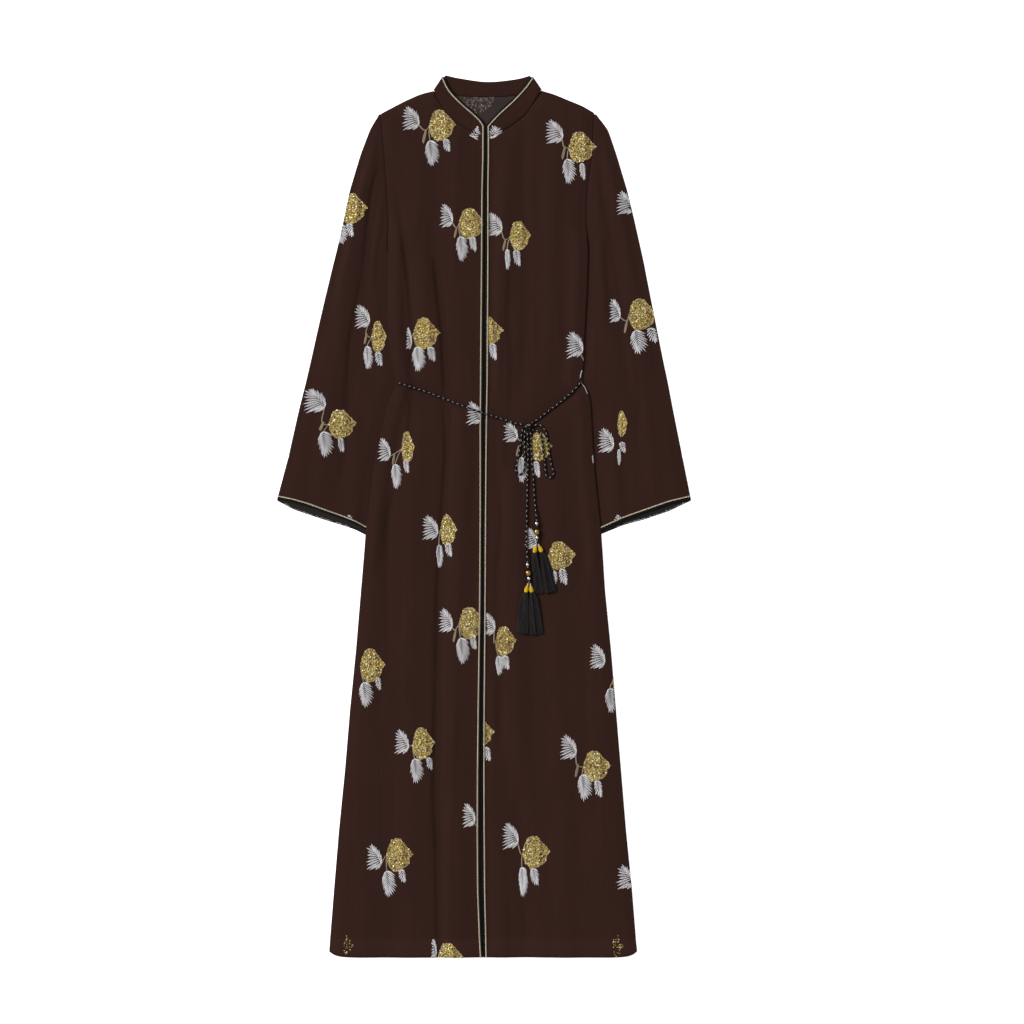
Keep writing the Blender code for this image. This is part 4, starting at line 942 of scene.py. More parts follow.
def front_surface(side):
    """A front's upper side as rows of points, from the shoulder and neck to the hem."""
    inward = -outward(side)
    line = SHOULDER[side] + NECK_SEAM[side]
    first = BODY[0][HEIGHT]
    side_x = body_side(side, first)
    low = front_distances(abs(opening_edge(side, first) - side_x))
    top = front_distances(abs(line[-1][0] - line[0][0]))
    neck_distance = abs(SHOULDER[side][-1][0] - line[0][0])
    top[np.argmin(np.abs(top - neck_distance))] = neck_distance
    top_x = line[0][0] + inward * top
    share = np.linspace(1.0, 0.0, SHOULDER_ROWS + 1)[:-1, None]
    x = mix(side_x + inward * low, top_x, share)
    y = mix(first, top_line(side, top_x), share)
    side_distance = mix(low, top, share)
    edge_distance = np.broadcast_to(low[-1] - low, x.shape)
    heights = body_heights()[:, None]
    starts = body_side(side, heights)
    widths = np.abs(opening_edge(side, heights) - starts)[:, 0]
    spread = np.stack([front_distances(width) for width in widths])
    x = np.concatenate([x, starts + inward * spread])
    y = np.concatenate([y, heights + hem_shift(spread, heights)])
    side_distance = np.concatenate([side_distance, spread])
    edge_distance = np.concatenate([edge_distance, widths[:, None] - spread])
    top_distance = np.maximum(top_line(side, x) - y, 0.0)
    z = front_height(side, x, y, side_distance, edge_distance, top_distance)
    return np.stack([x, y, z], axis=-1)


def back_distances(width):
    """Distances of the back's columns from its left side, closer together near both sides."""
    near = np.array(NEAR_SIDE)
    between = np.linspace(near[-1], width - near[-1], BACK_COLUMNS_BETWEEN + 2)[1:-1]
    return np.concatenate([near, between, width - near[::-1]])


def back_surface():
    """The back panel's upper side, which is its wrong side."""
    seam = sorted(SHOULDER["left"] + BACK_NECK + SHOULDER["right"])
    heights = body_heights()
    left, right = body_side("left", heights), body_side("right", heights)
    low = back_distances(right[0] - left[0])
    top = back_distances(seam[-1][0] - seam[0][0])
    top_x = seam[0][0] + top
    share = np.linspace(1.0, 0.0, SHOULDER_ROWS + 1)[:-1, None]
    x = mix(left[0] + low, top_x, share)
    y = mix(heights[0], read_table(seam, top_x, 1), share)
    spread = np.stack([back_distances(width) for width in right - left])
    x = np.concatenate([x, left[:, None] + spread])
    y_low = np.broadcast_to(heights[:, None], spread.shape)
    nearest = np.minimum(spread, (right - left)[:, None] - spread)
    y = np.concatenate([y, y_low + hem_shift(nearest, y_low)])
    lift = np.concatenate([np.zeros((SHOULDER_ROWS, len(low))), back_lift(nearest, y_low)])
    return np.stack([x, y, lift + WALL], axis=-1)


def sleeve_inner(side, y):
    """Inner edge of a sleeve: beside the armhole seam, then tucked under the body's side."""
    tucked = np.clip((ARMPIT - y) / (ARMPIT - TUCK_FULL_BELOW), 0.0, 1.0)
    return body_side(side, y) + outward(side) * mix(-ARMHOLE_OVERLAP, -TUCK, tucked)


def sleeve_row(side, y, outer_x, cuff_share):
    """One section: the back layer from inside out, the outer fold, the front layer, the inner fold."""
    inner_x = float(sleeve_inner(side, y))
    width = abs(outer_x - inner_x)
    below = smooth((ARMPIT - y) / ARMPIT_FADE)
    tip = min(SLEEVE_TIP, SLEEVE_TIP_SHARE * width)
    last = width - tip * below
    half = SLEEVE_EDGE_HEIGHT / 2.0
    lower = np.linspace(last, tip, LOWER_COLUMNS)
    upper = np.linspace(tip, last, UPPER_COLUMNS)
    turn = np.linspace(-math.pi / 2.0, math.pi / 2.0, FOLD_TURNS + 2)[1:-1]
    outer_fold = tip * (1.0 - np.cos(turn))
    inner_fold = last + tip * below * np.cos(turn)
    distance = np.concatenate([lower, outer_fold, upper, inner_fold])
    rise = half * (1.0 + np.sin(turn))
    x = outer_x - outward(side) * distance
    z = np.concatenate([np.zeros(LOWER_COLUMNS), rise, np.full(UPPER_COLUMNS, SLEEVE_EDGE_HEIGHT),
                        rise[::-1]])
    rows_y = np.full_like(x, y)
    if cuff_share:
        table = CUFFS[side]
        cuff_x = mix(table[0][0], table[-1][0], distance / width)
        cuff_y = mix(softened(table, cuff_x, 2), softened(table, cuff_x, 1), z / SLEEVE_EDGE_HEIGHT)
        x, rows_y = mix(x, cuff_x, cuff_share), mix(rows_y, cuff_y, cuff_share)
    start = LOWER_COLUMNS + FOLD_TURNS
    top = slice(start, start + UPPER_COLUMNS)
    z[top] += sleeve_rise(side, x[top], rows_y[top], upper, width - upper)
    return np.stack([x, rows_y, z], axis=-1)


def sleeve_rise(side, x, y, from_outer, from_inner):
    """Height of the sleeve's front layer above its folded edges."""
    panel = "sleeve_" + side
    hidden = SLEEVE_FLAT * smooth((ARMPIT - y) / (ARMPIT - TUCK_FULL_BELOW))
    inner = smooth((from_inner - hidden) / SLEEVE_INNER_ROLL)
    roll = smooth((from_outer - SLEEVE_TIP) / SLEEVE_OUTER_ROLL) * inner
    crease = bpy.context.scene.abaya_cloth.crease
    full = SLEEVE_PUFF + fold_height(panel, x, y) + crease * crease_height(panel, x, y)
    waves = ripple(x, y, SLEEVE_WAVES * outward(side))
    beside_armhole = 1.0 - smooth((ARMPIT - y) / ARMPIT_FADE)
    seam = ARMHOLE_DROP * np.exp(-from_inner / EDGE_DROP_REACH) * beside_armhole
    return roll * (np.maximum(full, SLEEVE_LEAST_RISE) + waves) - seam


def sleeve_surface(side):
    """A sleeve's outer surface as rows, and its quads: a ring below the armpit, open above it."""
    column = 1 if side == "left" else 2
    first, last = SLEEVES[0][0], SLEEVES[-1][0]
    heights = np.linspace(first, last, round((first - last) / ROW_STEP) + 1)
    rows = [sleeve_row(side, y, float(softened(SLEEVES, y, column)), 0.0) for y in heights]
    rows += [sleeve_row(side, last, SLEEVES[-1][column], (n + 1) / CUFF_ROWS) for n in range(CUFF_ROWS)]
    above = np.count_nonzero(heights >= ARMPIT)
    columns = len(rows[0])
    faces = []
    for row in range(len(rows) - 1):
        near, far = row * columns, (row + 1) * columns
        ring = [*range(columns), 0] if row >= above else range(columns - FOLD_TURNS)
        faces += [(near + a, far + a, far + b, near + b) for a, b in zip(ring, ring[1:])]
    return np.stack(rows), faces


def collar_surface():
    """The band's outer face, across from seam to free edge and along from the left end to the right."""
    seams, edges = [], []
    across_front = (np.arange(COLLAR_STATIONS) + 1.0) / COLLAR_STATIONS
    turns = np.linspace(0.0, math.pi, COLLAR_FOLD_STATIONS)
    radius = COLLAR_TOP / 2.0
    height = (radius + radius * np.cos(turns))[:, None]
    flat = np.full((COLLAR_STATIONS, 1), COLLAR_TOP)
    for side in SIDES:
        x = mix(SHOULDER[side][-1][0], NECK_SEAM[side][-1][0], across_front)
        seam = np.stack([x, top_line(side, x)], axis=-1)
        edge = at_shares(curve_through(COLLAR_EDGE[side]), across_front)
        way = edge - seam
        seam += SEAM * way / np.linalg.norm(way, axis=1)[:, None]
        base, tip = (np.array(place) for place in COLLAR_FOLD[side])
        line = tip - base
        normal = np.array((line[1], -line[0])) / np.linalg.norm(line)
        normal *= np.sign(normal[0] * outward(side))
        out = (np.sin(turns) - 1.0)[:, None] * radius * normal
        for ends, fold, front in ((seams, base, seam), (edges, tip, edge)):
            line = np.concatenate([np.hstack([fold + out, height])[::-1], np.hstack([front, flat])])
            ends.append(line[::-1] if side == "left" else line)
    seam_points = np.array((SHOULDER["left"][-1], *BACK_NECK, SHOULDER["right"][-1])) + (0.0, SEAM)
    shares = np.linspace(0.0, 1.0, COLLAR_BACK_STATIONS)
    backs = ((seams, seam_points, COLLAR_BACK_INSET), (edges, np.array(COLLAR_BACK_TOP), COLLAR_TIP_INSET))
    for ends, points, shift in backs:
        points[0, 0] += shift
        points[-1, 0] -= shift
        line = at_shares(curve_through(points), shares)
        ends.insert(1, np.hstack([line, np.zeros((COLLAR_BACK_STATIONS, 1))]))
    seam, edge = np.concatenate(seams), np.concatenate(edges)
    share = np.linspace(0.0, 1.0, COLLAR_ROWS)[:, None, None]
    rows = mix(seam, edge, share)
    on_top = smooth((seam[:, 2] - radius) / radius)
    rows[..., 2] += COLLAR_PUFF * np.sin(math.pi * share[..., 0]) * on_top
    return rows


def grid_faces(rows, columns):
    """Quads between the neighbouring points of a grid, counted row by row."""
    first = np.arange(rows - 1)[:, None] * columns + np.arange(columns - 1)[None, :]
    return np.stack([first, first + columns, first + columns + 1, first + 1], axis=-1).reshape(-1, 4)


def ring_faces(rows, columns, closed=False):
    """Quads between rings of points, and two end faces unless the last ring joins the first."""
    faces = []
    for row in range(rows if closed else rows - 1):
        near, far = row * columns, (row + 1) % rows * columns
        faces += [(near + n, near + (n + 1) % columns, far + (n + 1) % columns, far + n)
                  for n in range(columns)]
    if not closed:
        faces += [tuple(range(columns)), tuple(range((rows - 1) * columns, rows * columns))]
    return faces


def new_object(name, points, faces=(), edges=(), look=None):
    """An object of points in millimetres."""
    mesh = bpy.data.meshes.new(PIECE + name)
    mesh.from_pydata((np.asarray(points, float) * MM).tolist(), edges, faces)
    made = bpy.data.objects.new(PIECE + name, mesh)
    bpy.context.scene.collection.objects.link(made)
    if look:
        mesh.materials.append(look)
    return made


def note(made, key, values):
    """A number for each point of an object, or one for all of them."""
    mesh = made.data
    numbers = np.array(np.broadcast_to(values, len(mesh.vertices)), np.float32)
    mesh.attributes.new(key, "FLOAT", "POINT").data.foreach_set("value", numbers)


def path_object(name, lines, **numbers):
    """Polylines as a mesh of edges, with named numbers at their points."""
    edges = []
    start = 0
    for line in lines:
        edges += [(start + n, start + n + 1) for n in range(len(line) - 1)]
        start += len(line)
    made = new_object(name, np.concatenate(lines), edges=edges)
    for key, values in numbers.items():
        note(made, key, values)
    return made


def solid_of(name, points, faces, look):
    """A closed body, right side out."""
    made = new_object(name, points, faces, look=look)
    shape = bmesh.new()
    shape.from_mesh(made.data)
    bmesh.ops.recalc_face_normals(shape, faces=shape.faces)
    shape.to_mesh(made.data)
    shape.free()
    made.data.shade_smooth()
    made.data.set_sharp_from_angle(angle=math.radians(SHARP_ANGLE))
    return made


def piece(name):
    """The object made under a name."""
    return bpy.data.objects[PIECE + name]


def settle(made):
    """The object with its modifiers worked into a plain mesh."""
    bpy.context.view_layer.update()
    graph = bpy.context.evaluated_depsgraph_get()
    mesh = bpy.data.meshes.new_from_object(made.evaluated_get(graph))
    old = made.data
    made.modifiers.clear()
    made.data = mesh
    bpy.data.meshes.remove(old)
    mesh.name = made.name
    mesh.shade_smooth()
    return made


def join_up(name, pieces):
    """Several objects made one, keeping their materials."""
    with bpy.context.temp_override(active_object=pieces[0], selected_editable_objects=pieces):
        bpy.ops.object.join()
    pieces[0].name = pieces[0].data.name = PIECE + name
    return pieces[0]


def cloth_sheet(name, rows, thickness, outer, inner, faces=None, rounded=False):
    """A sheet of cloth under its outer surface, which is given as rows of points.

    A rounded sheet faces outwards all round, any other faces up.
    """
    faces = grid_faces(*rows.shape[:2]) if faces is None else np.asarray(faces)
    points = rows.reshape(-1, 3)
    corner = points[faces]
    lean = np.cross(corner[:, 2] - corner[:, 0], corner[:, 3] - corner[:, 1])[:, 2]
    if rounded:
        lean = lean * (corner[..., 2].mean(axis=1) - SLEEVE_EDGE_HEIGHT / 2.0)
    if lean.sum() < 0.0:
        faces = faces[:, ::-1]
    used, index = np.unique(faces, return_inverse=True)
    made = new_object(name, points[used], index.reshape(faces.shape).tolist(), look=outer)
    mesh = made.data
    mesh.materials.append(inner)
    corners = np.empty(len(mesh.loops), dtype=np.int32)
    mesh.loops.foreach_get("vertex_index", corners)
    flat = points[used][corners, :2] * MM
    mesh.uv_layers.new(name="cloth").data.foreach_set("uv", flat.ravel())
    wall = made.modifiers.new("wall", "SOLIDIFY")
    wall.thickness = thickness * MM
    wall.offset = -1.0
    wall.use_even_offset = True
    wall.thickness_clamp = 1.0
    wall.material_offset = 1
    return settle(made)


class Tops:
    """The surfaces that pieces lie on, with the name of what is met first from above."""

    def __init__(self, names):
        points, faces, self.owners = [], [], []
        start = 0
        for name in names:
            mesh = piece(name).data
            place = np.empty(len(mesh.vertices) * 3)
            mesh.vertices.foreach_get("co", place)
            points.append(place.reshape(-1, 3))
            faces += [[start + n for n in face.vertices] for face in mesh.polygons]
            self.owners += [name] * len(mesh.polygons)
            start += len(mesh.vertices)
        self.tree = BVHTree.FromPolygons(np.concatenate(points).tolist(), faces)

    def hit(self, x, y):
        """Height in millimetres and name of the surface at a place, or None and an empty name."""
        start = Vector((x, y, RAY_TOP)) * MM
        place, _, face, _ = self.tree.ray_cast(start, Vector((0.0, 0.0, -1.0)))
        if place is None:
            return None, ""
        return place.z / MM, self.owners[face]

    def highest(self, x, y, radius):
        """Highest point under a round footprint."""
        found = 0.0
        for out in FOOTPRINT_RINGS:
            for angle in np.linspace(0.0, math.tau, FOOTPRINT_SPOKES, endpoint=False):
                height, _ = self.hit(x + radius * out * math.cos(angle), y + radius * out * math.sin(angle))
                found = max(found, height or 0.0)
        return found


class Nodes:
    """Adds nodes to a tree; their inputs are values or the outputs of other nodes."""

    def __init__(self, tree):
        self.tree = tree

    def put(self, kind, inputs=None, **settings):
        """A new node's outputs."""
        node = self.tree.nodes.new(kind)
        for key, value in settings.items():
            setattr(node, key, value)
        self.feed(node, inputs or {})
        return node.outputs

    def feed(self, node, inputs):
        for key, value in inputs.items():
            if isinstance(value, bpy.types.NodeSocket):
                self.tree.links.new(value, node.inputs[key])
            else:
                node.inputs[key].default_value = value

    def math(self, operation, *values):
        return self.put("ShaderNodeMath", dict(enumerate(values)), operation=operation)[0]

    def vector(self, operation, *values):
        return self.put("ShaderNodeVectorMath", dict(enumerate(values)), operation=operation)[0]


class Growth(Nodes):
    """A geometry tree with named inputs, whose kinds follow from their defaults."""
    kinds = {float: "Float", int: "Int", type(None): "Material"}

    def __init__(self, name, **defaults):
        super().__init__(bpy.data.node_groups.new(name, "GeometryNodeTree"))
        sockets = self.tree.interface
        sockets.new_socket("Geometry", in_out="INPUT", socket_type="NodeSocketGeometry")
        for label, default in defaults.items():
            kind = "NodeSocket" + self.kinds[type(default)]
            socket = sockets.new_socket(label, in_out="INPUT", socket_type=kind)
            if default is not None:
                socket.default_value = default
        sockets.new_socket("Geometry", in_out="OUTPUT", socket_type="NodeSocketGeometry")
        self.given = self.put("NodeGroupInput")

    def tube(self, curve, radius, scale=1.0):
        """A closed tube along a curve."""
        ring = self.put("GeometryNodeCurvePrimitiveCircle", {0: self.given["Sides"], 4: radius})[0]
        return self.put("GeometryNodeCurveToMesh", {0: curve, 1: ring, "Scale": scale, "Fill Caps": True})[0]

    def finish(self, geometry):
        """The tree with its result made real, in its look where it has one of its own."""
        whole = self.put("GeometryNodeRealizeInstances", {0: geometry})[0]
        if "Look" in self.given:
            whole = self.put("GeometryNodeSetMaterial", {0: whole, 2: self.given["Look"]})[0]
        self.put("NodeGroupOutput", {0: whole})
        return self.tree


def grow(made, tree, **values):
    """An object turned into what a geometry tree makes of it."""
    modifier = made.modifiers.new("grow", "NODES")
    modifier.node_group = tree
    for item in tree.interface.items_tree:
        if item.name in values:
            modifier[item.identifier] = values[item.name]
    return settle(made)


def strand_tree():
    """Strands that wind round a path, each a small tube."""
    tree = Growth("wound strands", Step=0.0008, Strands=2, Pitch=0.005, Across=0.0008, Height=0.0005,
                  Radius=0.0006, Sides=6, Look=None)
    given = tree.given
    curve = tree.put("GeometryNodeMeshToCurve", {0: given["Geometry"]})[0]
    even = tree.put("GeometryNodeResampleCurve", {0: curve, 3: given["Step"]}, mode="LENGTH")[0]
    copies = tree.put("GeometryNodeDuplicateElements", {0: even, 2: given["Strands"]}, domain="SPLINE")
    turns = tree.math("DIVIDE", tree.put("GeometryNodeSplineParameter")[1], given["Pitch"])
    share = tree.math("DIVIDE", copies[1], given["Strands"])
    angle = tree.math("MULTIPLY", tree.math("ADD", turns, share), math.tau)
    tangent = tree.put("GeometryNodeInputTangent")[0]
    across = tree.vector("NORMALIZE", tree.vector("CROSS_PRODUCT", tangent, (0.0, 0.0, 1.0)))
    aside = tree.math("MULTIPLY", tree.math("COSINE", angle), given["Across"])
    above = tree.math("MULTIPLY", tree.math("SINE", angle), given["Height"])
    sideways = tree.put("ShaderNodeVectorMath", {0: across, 3: aside}, operation="SCALE")[0]
    offset = tree.vector("ADD", sideways, tree.put("ShaderNodeCombineXYZ", {2: above})[0])
    marked = tree.put("GeometryNodeStoreNamedAttribute", {0: copies[0], 2: "run", 3: turns},
                      data_type="FLOAT", domain="POINT")[0]
    moved = tree.put("GeometryNodeSetPosition", {0: marked, 3: offset})[0]
    return tree.finish(tree.tube(moved, given["Radius"]))


def braid_tree(strands):
    """A round braid: dark strands wound together with two thin flecked strands crossing over them."""
    tree = Growth("braided cord", Radius=0.0016, Pitch=0.0085, Cord=None, Fleck=None)
    given = tree.given
    join = tree.tree.nodes.new("GeometryNodeJoinGeometry")
    for look, turn, out, thick, step, count, sides in BRAID:
        away, radius = (tree.math("MULTIPLY", given["Radius"], share) for share in (out, thick))
        wound = tree.put("GeometryNodeGroup", node_tree=strands, inputs={
            "Geometry": given["Geometry"], "Look": given[look], "Step": step, "Strands": count,
            "Sides": sides, "Pitch": tree.math("MULTIPLY", given["Pitch"], turn), "Across": away,
            "Height": away, "Radius": radius})[0]
        tree.feed(join, {0: wound})
    return tree.finish(join.outputs[0])


def thread_tree():
    """Threads along edges, as thick as the points' own attribute says."""
    tree = Growth("laid threads", Sides=4, Look=None)
    curve = tree.put("GeometryNodeMeshToCurve", {0: tree.given["Geometry"]})[0]
    thick = tree.put("GeometryNodeInputNamedAttribute", {0: "thick"}, data_type="FLOAT")[0]
    return tree.finish(tree.tube(curve, 1.0, thick))


def sequin_tree():
    """Small flat discs on points, each tilted its own way."""
    tree = Growth("scattered sequins", Radius=0.0012, Look=None)
    size = {0: SEQUIN_CORNERS, 3: tree.given["Radius"], 4: SEQUIN_DEPTH}
    disc = tree.put("GeometryNodeMeshCylinder", size)[0]
    lean = (SEQUIN_TILT, SEQUIN_TILT, math.pi)
    turn = tree.put("FunctionNodeRandomValue", {0: [-turn for turn in lean], 1: lean, 8: SEQUIN_SEED},
                    data_type="FLOAT_VECTOR")[0]
    placed = tree.put("GeometryNodeInstanceOnPoints", {0: tree.given["Geometry"], 2: disc, 5: turn})[0]
    return tree.finish(placed)


def tinted(colour, factor):
    """A colour made darker or lighter."""
    return tuple(min(channel * factor, 1.0) for channel in colour)


class Look(Nodes):
    """A material of noise, tints and relief, laid out on the object or on the cloth's own map."""

    def __init__(self, name, uv_map=""):
        self.made = bpy.data.materials.new(name)
        self.made.use_nodes = True
        super().__init__(self.made.node_tree)
        self.place = (self.put("ShaderNodeUVMap", uv_map=uv_map)[0] if uv_map
                      else self.put("ShaderNodeTexCoord")["Object"])

    def noise(self, scale, stretch=(1.0, 1.0, 1.0), detail=2.0):
        place = self.vector("MULTIPLY", self.place, stretch)
        return self.put("ShaderNodeTexNoise", {"Vector": place, "Scale": scale, "Detail": detail})[0]

    def number(self, name):
        """A number that the points carry."""
        return self.put("ShaderNodeAttribute", attribute_name=name)["Fac"]

    def span(self, value, low=0.0, high=1.0, start=0.3, end=0.7):
        """A number that goes from low to high while the value goes from start to end."""
        return self.put("ShaderNodeMapRange", {0: value, 1: start, 2: end, 3: low, 4: high})[0]

    def blend(self, share, first, second):
        """A colour between two, each three numbers or an output."""
        ends = [end if isinstance(end, bpy.types.NodeSocket) else (*end, 1.0) for end in (first, second)]
        return self.put("ShaderNodeMix", {0: share, 6: ends[0], 7: ends[1]}, data_type="RGBA")[2]

    def tints(self, share, colour, dark, light):
        return self.blend(share, tinted(colour, dark), tinted(colour, light))

    def finish(self, colour, rough, height=None, relief=0.0, **constant):
        """The material with its colour, roughness, relief in metres and constant numbers."""
        values = {"Base Color": colour, "Roughness": rough}
        values.update((key.replace("_", " "), value) for key, value in constant.items())
        if height is not None:
            values["Normal"] = self.put("ShaderNodeBump", {"Height": height, "Distance": relief})[0]
        self.feed(self.tree.nodes["Principled BSDF"], values)
        return self.made


def crepe(name, colour, streaks):
    """Matt crepe: a crinkled grain, faint lengthwise streaks, cloudy patches and a paler hem."""
    look = Look(name, "cloth")
    grain = look.noise(1400.0, (1.0, 0.7, 1.0), 3.0)
    crinkle = look.noise(520.0, (1.0, 0.35, 1.0))
    streak = look.noise(260.0, (1.0, 0.02, 1.0), 3.0)
    cloud = look.noise(22.0, (1.0, 0.4, 1.0))
    along = look.put("ShaderNodeSeparateXYZ", {0: look.place})[1]
    hem = look.span(along, 0.0, 0.4, HEM_LINE * MM, (HEM_LINE - HEM_SOFT) * MM)
    base = look.tints(look.span(grain), colour, 0.80, 1.22)
    streak_share, cloud_share = look.span(streak, 0.0, streaks), look.span(cloud, 0.0, 0.3)
    for share, factor in ((streak_share, 1.6), (cloud_share, 0.72), (hem, 1.4)):
        base = look.blend(share, base, tinted(colour, factor))
    relief = look.math("MULTIPLY", grain, 0.6)
    for part, share in ((crinkle, 0.9), (streak, 0.5)):
        relief = look.math("ADD", relief, look.math("MULTIPLY", part, share))
    return look.finish(base, look.span(grain, 0.72, 0.86), relief, 0.00022, Specular_IOR_Level=0.05,
                       Sheen_Weight=0.04, Sheen_Roughness=0.5, Sheen_Tint=(0.75, 0.62, 0.60, 1.0))


def thread_look(name, colour, scale, tints, rough, relief, stretch=(1.0, 1.0, 1.0), detail=3.0,
                patches=0.0, **constant):
    """Thread or ribbon: fine noise tints standing for painted shade between the windings and painted
    highlight on their tops, and darker patches on some.
    """
    look = Look(name)
    fine = look.noise(scale, stretch, detail)
    # noise tints the thread from dark to bright: painted shade between windings and painted highlight on
    # their tops
    base = look.tints(look.span(fine), colour, *tints)
    if patches:
        broad = look.span(look.noise(scale * 0.12, detail=1.0), 0.0, patches)
        base = look.blend(broad, base, tinted(colour, 0.7))
    return look.finish(base, look.span(fine, *rough), fine, relief, **constant)


def fleck_look(silver, dark):
    """A strand that shows as silver dashes where it lies on top of the braid."""
    look = Look("silver flecks")
    turn = look.math("FRACT", look.number("run"))
    off_top = look.math("ABSOLUTE", look.math("SUBTRACT", turn, 0.25))
    fine = look.noise(2600.0)
    bright = look.tints(look.span(fine), silver, 0.6, 1.2)
    base = look.blend(look.span(off_top, start=0.090, end=0.065), dark, bright)
    return look.finish(base, 0.5, fine, 0.00006, Specular_IOR_Level=0.12)


def bead_look(name, colour, side, rough):
    """Polished metal, its sides darkened as painted shade, with fine turning marks and a few scuffs."""
    look = Look(name)
    scuff = look.noise(900.0, detail=4.0)
    normal = look.put("ShaderNodeTexCoord")["Normal"]
    facing_up_painted_shade_mask = look.put("ShaderNodeSeparateXYZ", {0: normal})[2]
    # where the normal leans away from straight up the colour is multiplied by side: painted shade at the
    # bead's sides
    base = look.tints(look.span(facing_up_painted_shade_mask, start=0.68, end=0.97), colour, side, 1.0)
    base = look.blend(look.span(scuff, 0.0, 0.7), base, tinted(colour, 0.3))
    return look.finish(base, look.span(scuff, rough - 0.05, rough + 0.1), scuff, 0.00003, Metallic=1.0)


def fibre_look(name, colour, play, rough, gloss):
    """Silky thread whose tone changes from strand to strand."""
    look = Look(name)
    fine = look.noise(1800.0, (1.0, 0.2, 1.0))
    base = look.tints(look.number("tone"), colour, 1.0 - play, 1.0 + play * 2.0)
    base = look.blend(look.span(fine, 0.0, 0.5), base, tinted(colour, 0.6))
    return look.finish(base, rough, fine, 0.00006, Specular_IOR_Level=gloss)


def sequin_look(colour):
    """Gold foil discs: some brown, partly the band's own colour and partly painted dark reflection, and some
    pale cream as painted glints.
    """
    look = Look("gold sequins")
    tone = look.number("tone")
    fine = look.noise(1500.0)
    # low tones are brown: the band's own brown, and elsewhere painted dark reflection of tilted discs
    base = look.blend(look.span(tone, start=0.16, end=0.30), (0.16, 0.095, 0.06), colour)
    # the highest tones are pale cream: painted glints
    base = look.blend(look.span(tone, start=0.84, end=0.9), base, (0.80, 0.74, 0.44))
    return look.finish(base, look.span(fine, 0.42, 0.6), fine, 0.00005, Metallic=0.55)


def floor_look(tone):
    """Even pale paper."""
    look = Look("pale floor")
    base = look.tints(look.span(look.noise(3.0)), (tone,) * 3, 1.0, 0.99)
    return look.finish(base, 0.9, Specular_IOR_Level=0.0, Emission_Strength=0.75, Emission_Color=WHITE)


class ABAYA_OT_stage(bpy.types.Operator):
    """Makes the floor, the lights and the camera straight above the garment"""
    bl_idname = "abaya.stage"
    bl_label = "Stage"

    def execute(self, context):
        settings = context.scene.abaya_stage
        scene = context.scene
        scene.view_settings.view_transform = "Standard"
        data = bpy.data.cameras.new("camera")
        data.sensor_width = CAMERA_SENSOR
        data.lens = CAMERA_LENS
        camera = bpy.data.objects.new("camera", data)
        camera.location = CAMERA_PLACE
        scene.collection.objects.link(camera)
        scene.camera = camera
        signs = ((-1, -1), (1, -1), (1, 1), (-1, 1))
        corners = [(x * FLOOR_HALF, y * FLOOR_HALF, -FLOOR_DROP) for x, y in signs]
        floor = new_object("floor", corners, [(0, 1, 2, 3)], look=floor_look(settings.floor))
        world = bpy.data.worlds.new("surround")
        world.use_nodes = True
        colour, strength = world.node_tree.nodes["Background"].inputs[:2]
        colour.default_value = WHITE
        strength.default_value = settings.surround
        scene.world = world
        sun = bpy.data.lights.new("key", "SUN")
        sun.energy = settings.key
        sun.angle = math.radians(SUN_ANGLE)
        key = bpy.data.objects.new("key", sun)
        key.rotation_euler = Vector(SUN_FROM).to_track_quat("Z", "Y").to_euler()
        scene.collection.objects.link(key)
        return {"FINISHED"}


class ABAYA_OT_cloth(bpy.types.Operator):
    """Makes the back panel, the two fronts, the two sleeves and the collar"""
    bl_idname = "abaya.cloth"
    bl_label = "Cloth panels"

    def execute(self, context):
        cloth = context.scene.abaya_cloth
        thin = cloth.thickness / MM
        outside = crepe("plum crepe", cloth.outside, 0.22)
        inside = crepe("crepe wrong side", cloth.inside, 0.1)
        # the wrong side seen in the cuffs gets its own darker colour, painted shade for the inside of the
        # sleeve tubes
        sleeve_inside_painted_shade = crepe("sleeve wrong side", cloth.sleeve_inside_painted_shade, 0.1)
        cloth_sheet("back", back_surface(), WALL, inside, outside)
        for side in SIDES:
            cloth_sheet("front_" + side, front_surface(side), thin, outside, inside)
            rows, faces = sleeve_surface(side)
            cloth_sheet("sleeve_" + side, rows, thin, outside, sleeve_inside_painted_shade, faces, rounded=True)
        cloth_sheet("collar", collar_surface(), WALL, outside, outside, rounded=True)
        return {"FINISHED"}


def front_trim_path(side):
    """The free edge of the collar, its short end and the front's opening edge down to the hem."""
    collar = curve_through(COLLAR_EDGE[side])
    start = NECK_SEAM[side][-1][1]
    heights = np.arange(start, BODY[-1][HEIGHT], -TRIM_STEP)
    opening = np.stack([opening_edge(side, heights), heights], axis=-1)
    band_end = np.arange(collar[-1][1] - BAND_END_STEP, start + BAND_END_STEP, -BAND_END_STEP)
    down = np.array([(collar[-1][0], y) for y in band_end])
    return np.concatenate([collar, down, opening])


def cuff_trim_path(side):
    """The cuff's front edge from the body's side to the outer corner."""
    table = CUFFS[side]
    x = np.arange(abs(table[-1][0]), abs(table[0][0]) - CUFF_END, CUFF_STEP) * outward(side)
    y = softened(table, x, 1)
    beside = outward(side) * (x - body_side(side, y)) > CUFF_TRIM_CLEARANCE
    return np.stack([x[beside], y[beside]], axis=-1)


def inset(path, distance, turn):
    """A path moved sideways, its corners softened."""
    run = distances(path)
    count = max(4, round(run[-1] / TRIM_STEP))
    even = at_shares(path, np.linspace(0.0, 1.0, count + 1))
    along = np.gradient(even, axis=0)
    for _ in range(3):
        along[1:-1] = (along[:-2] + along[1:-1] + along[2:]) / 3.0
    along /= np.linalg.norm(along, axis=1)[:, None]
    return even + distance * turn * np.stack([along[:, 1], -along[:, 0]], axis=-1)


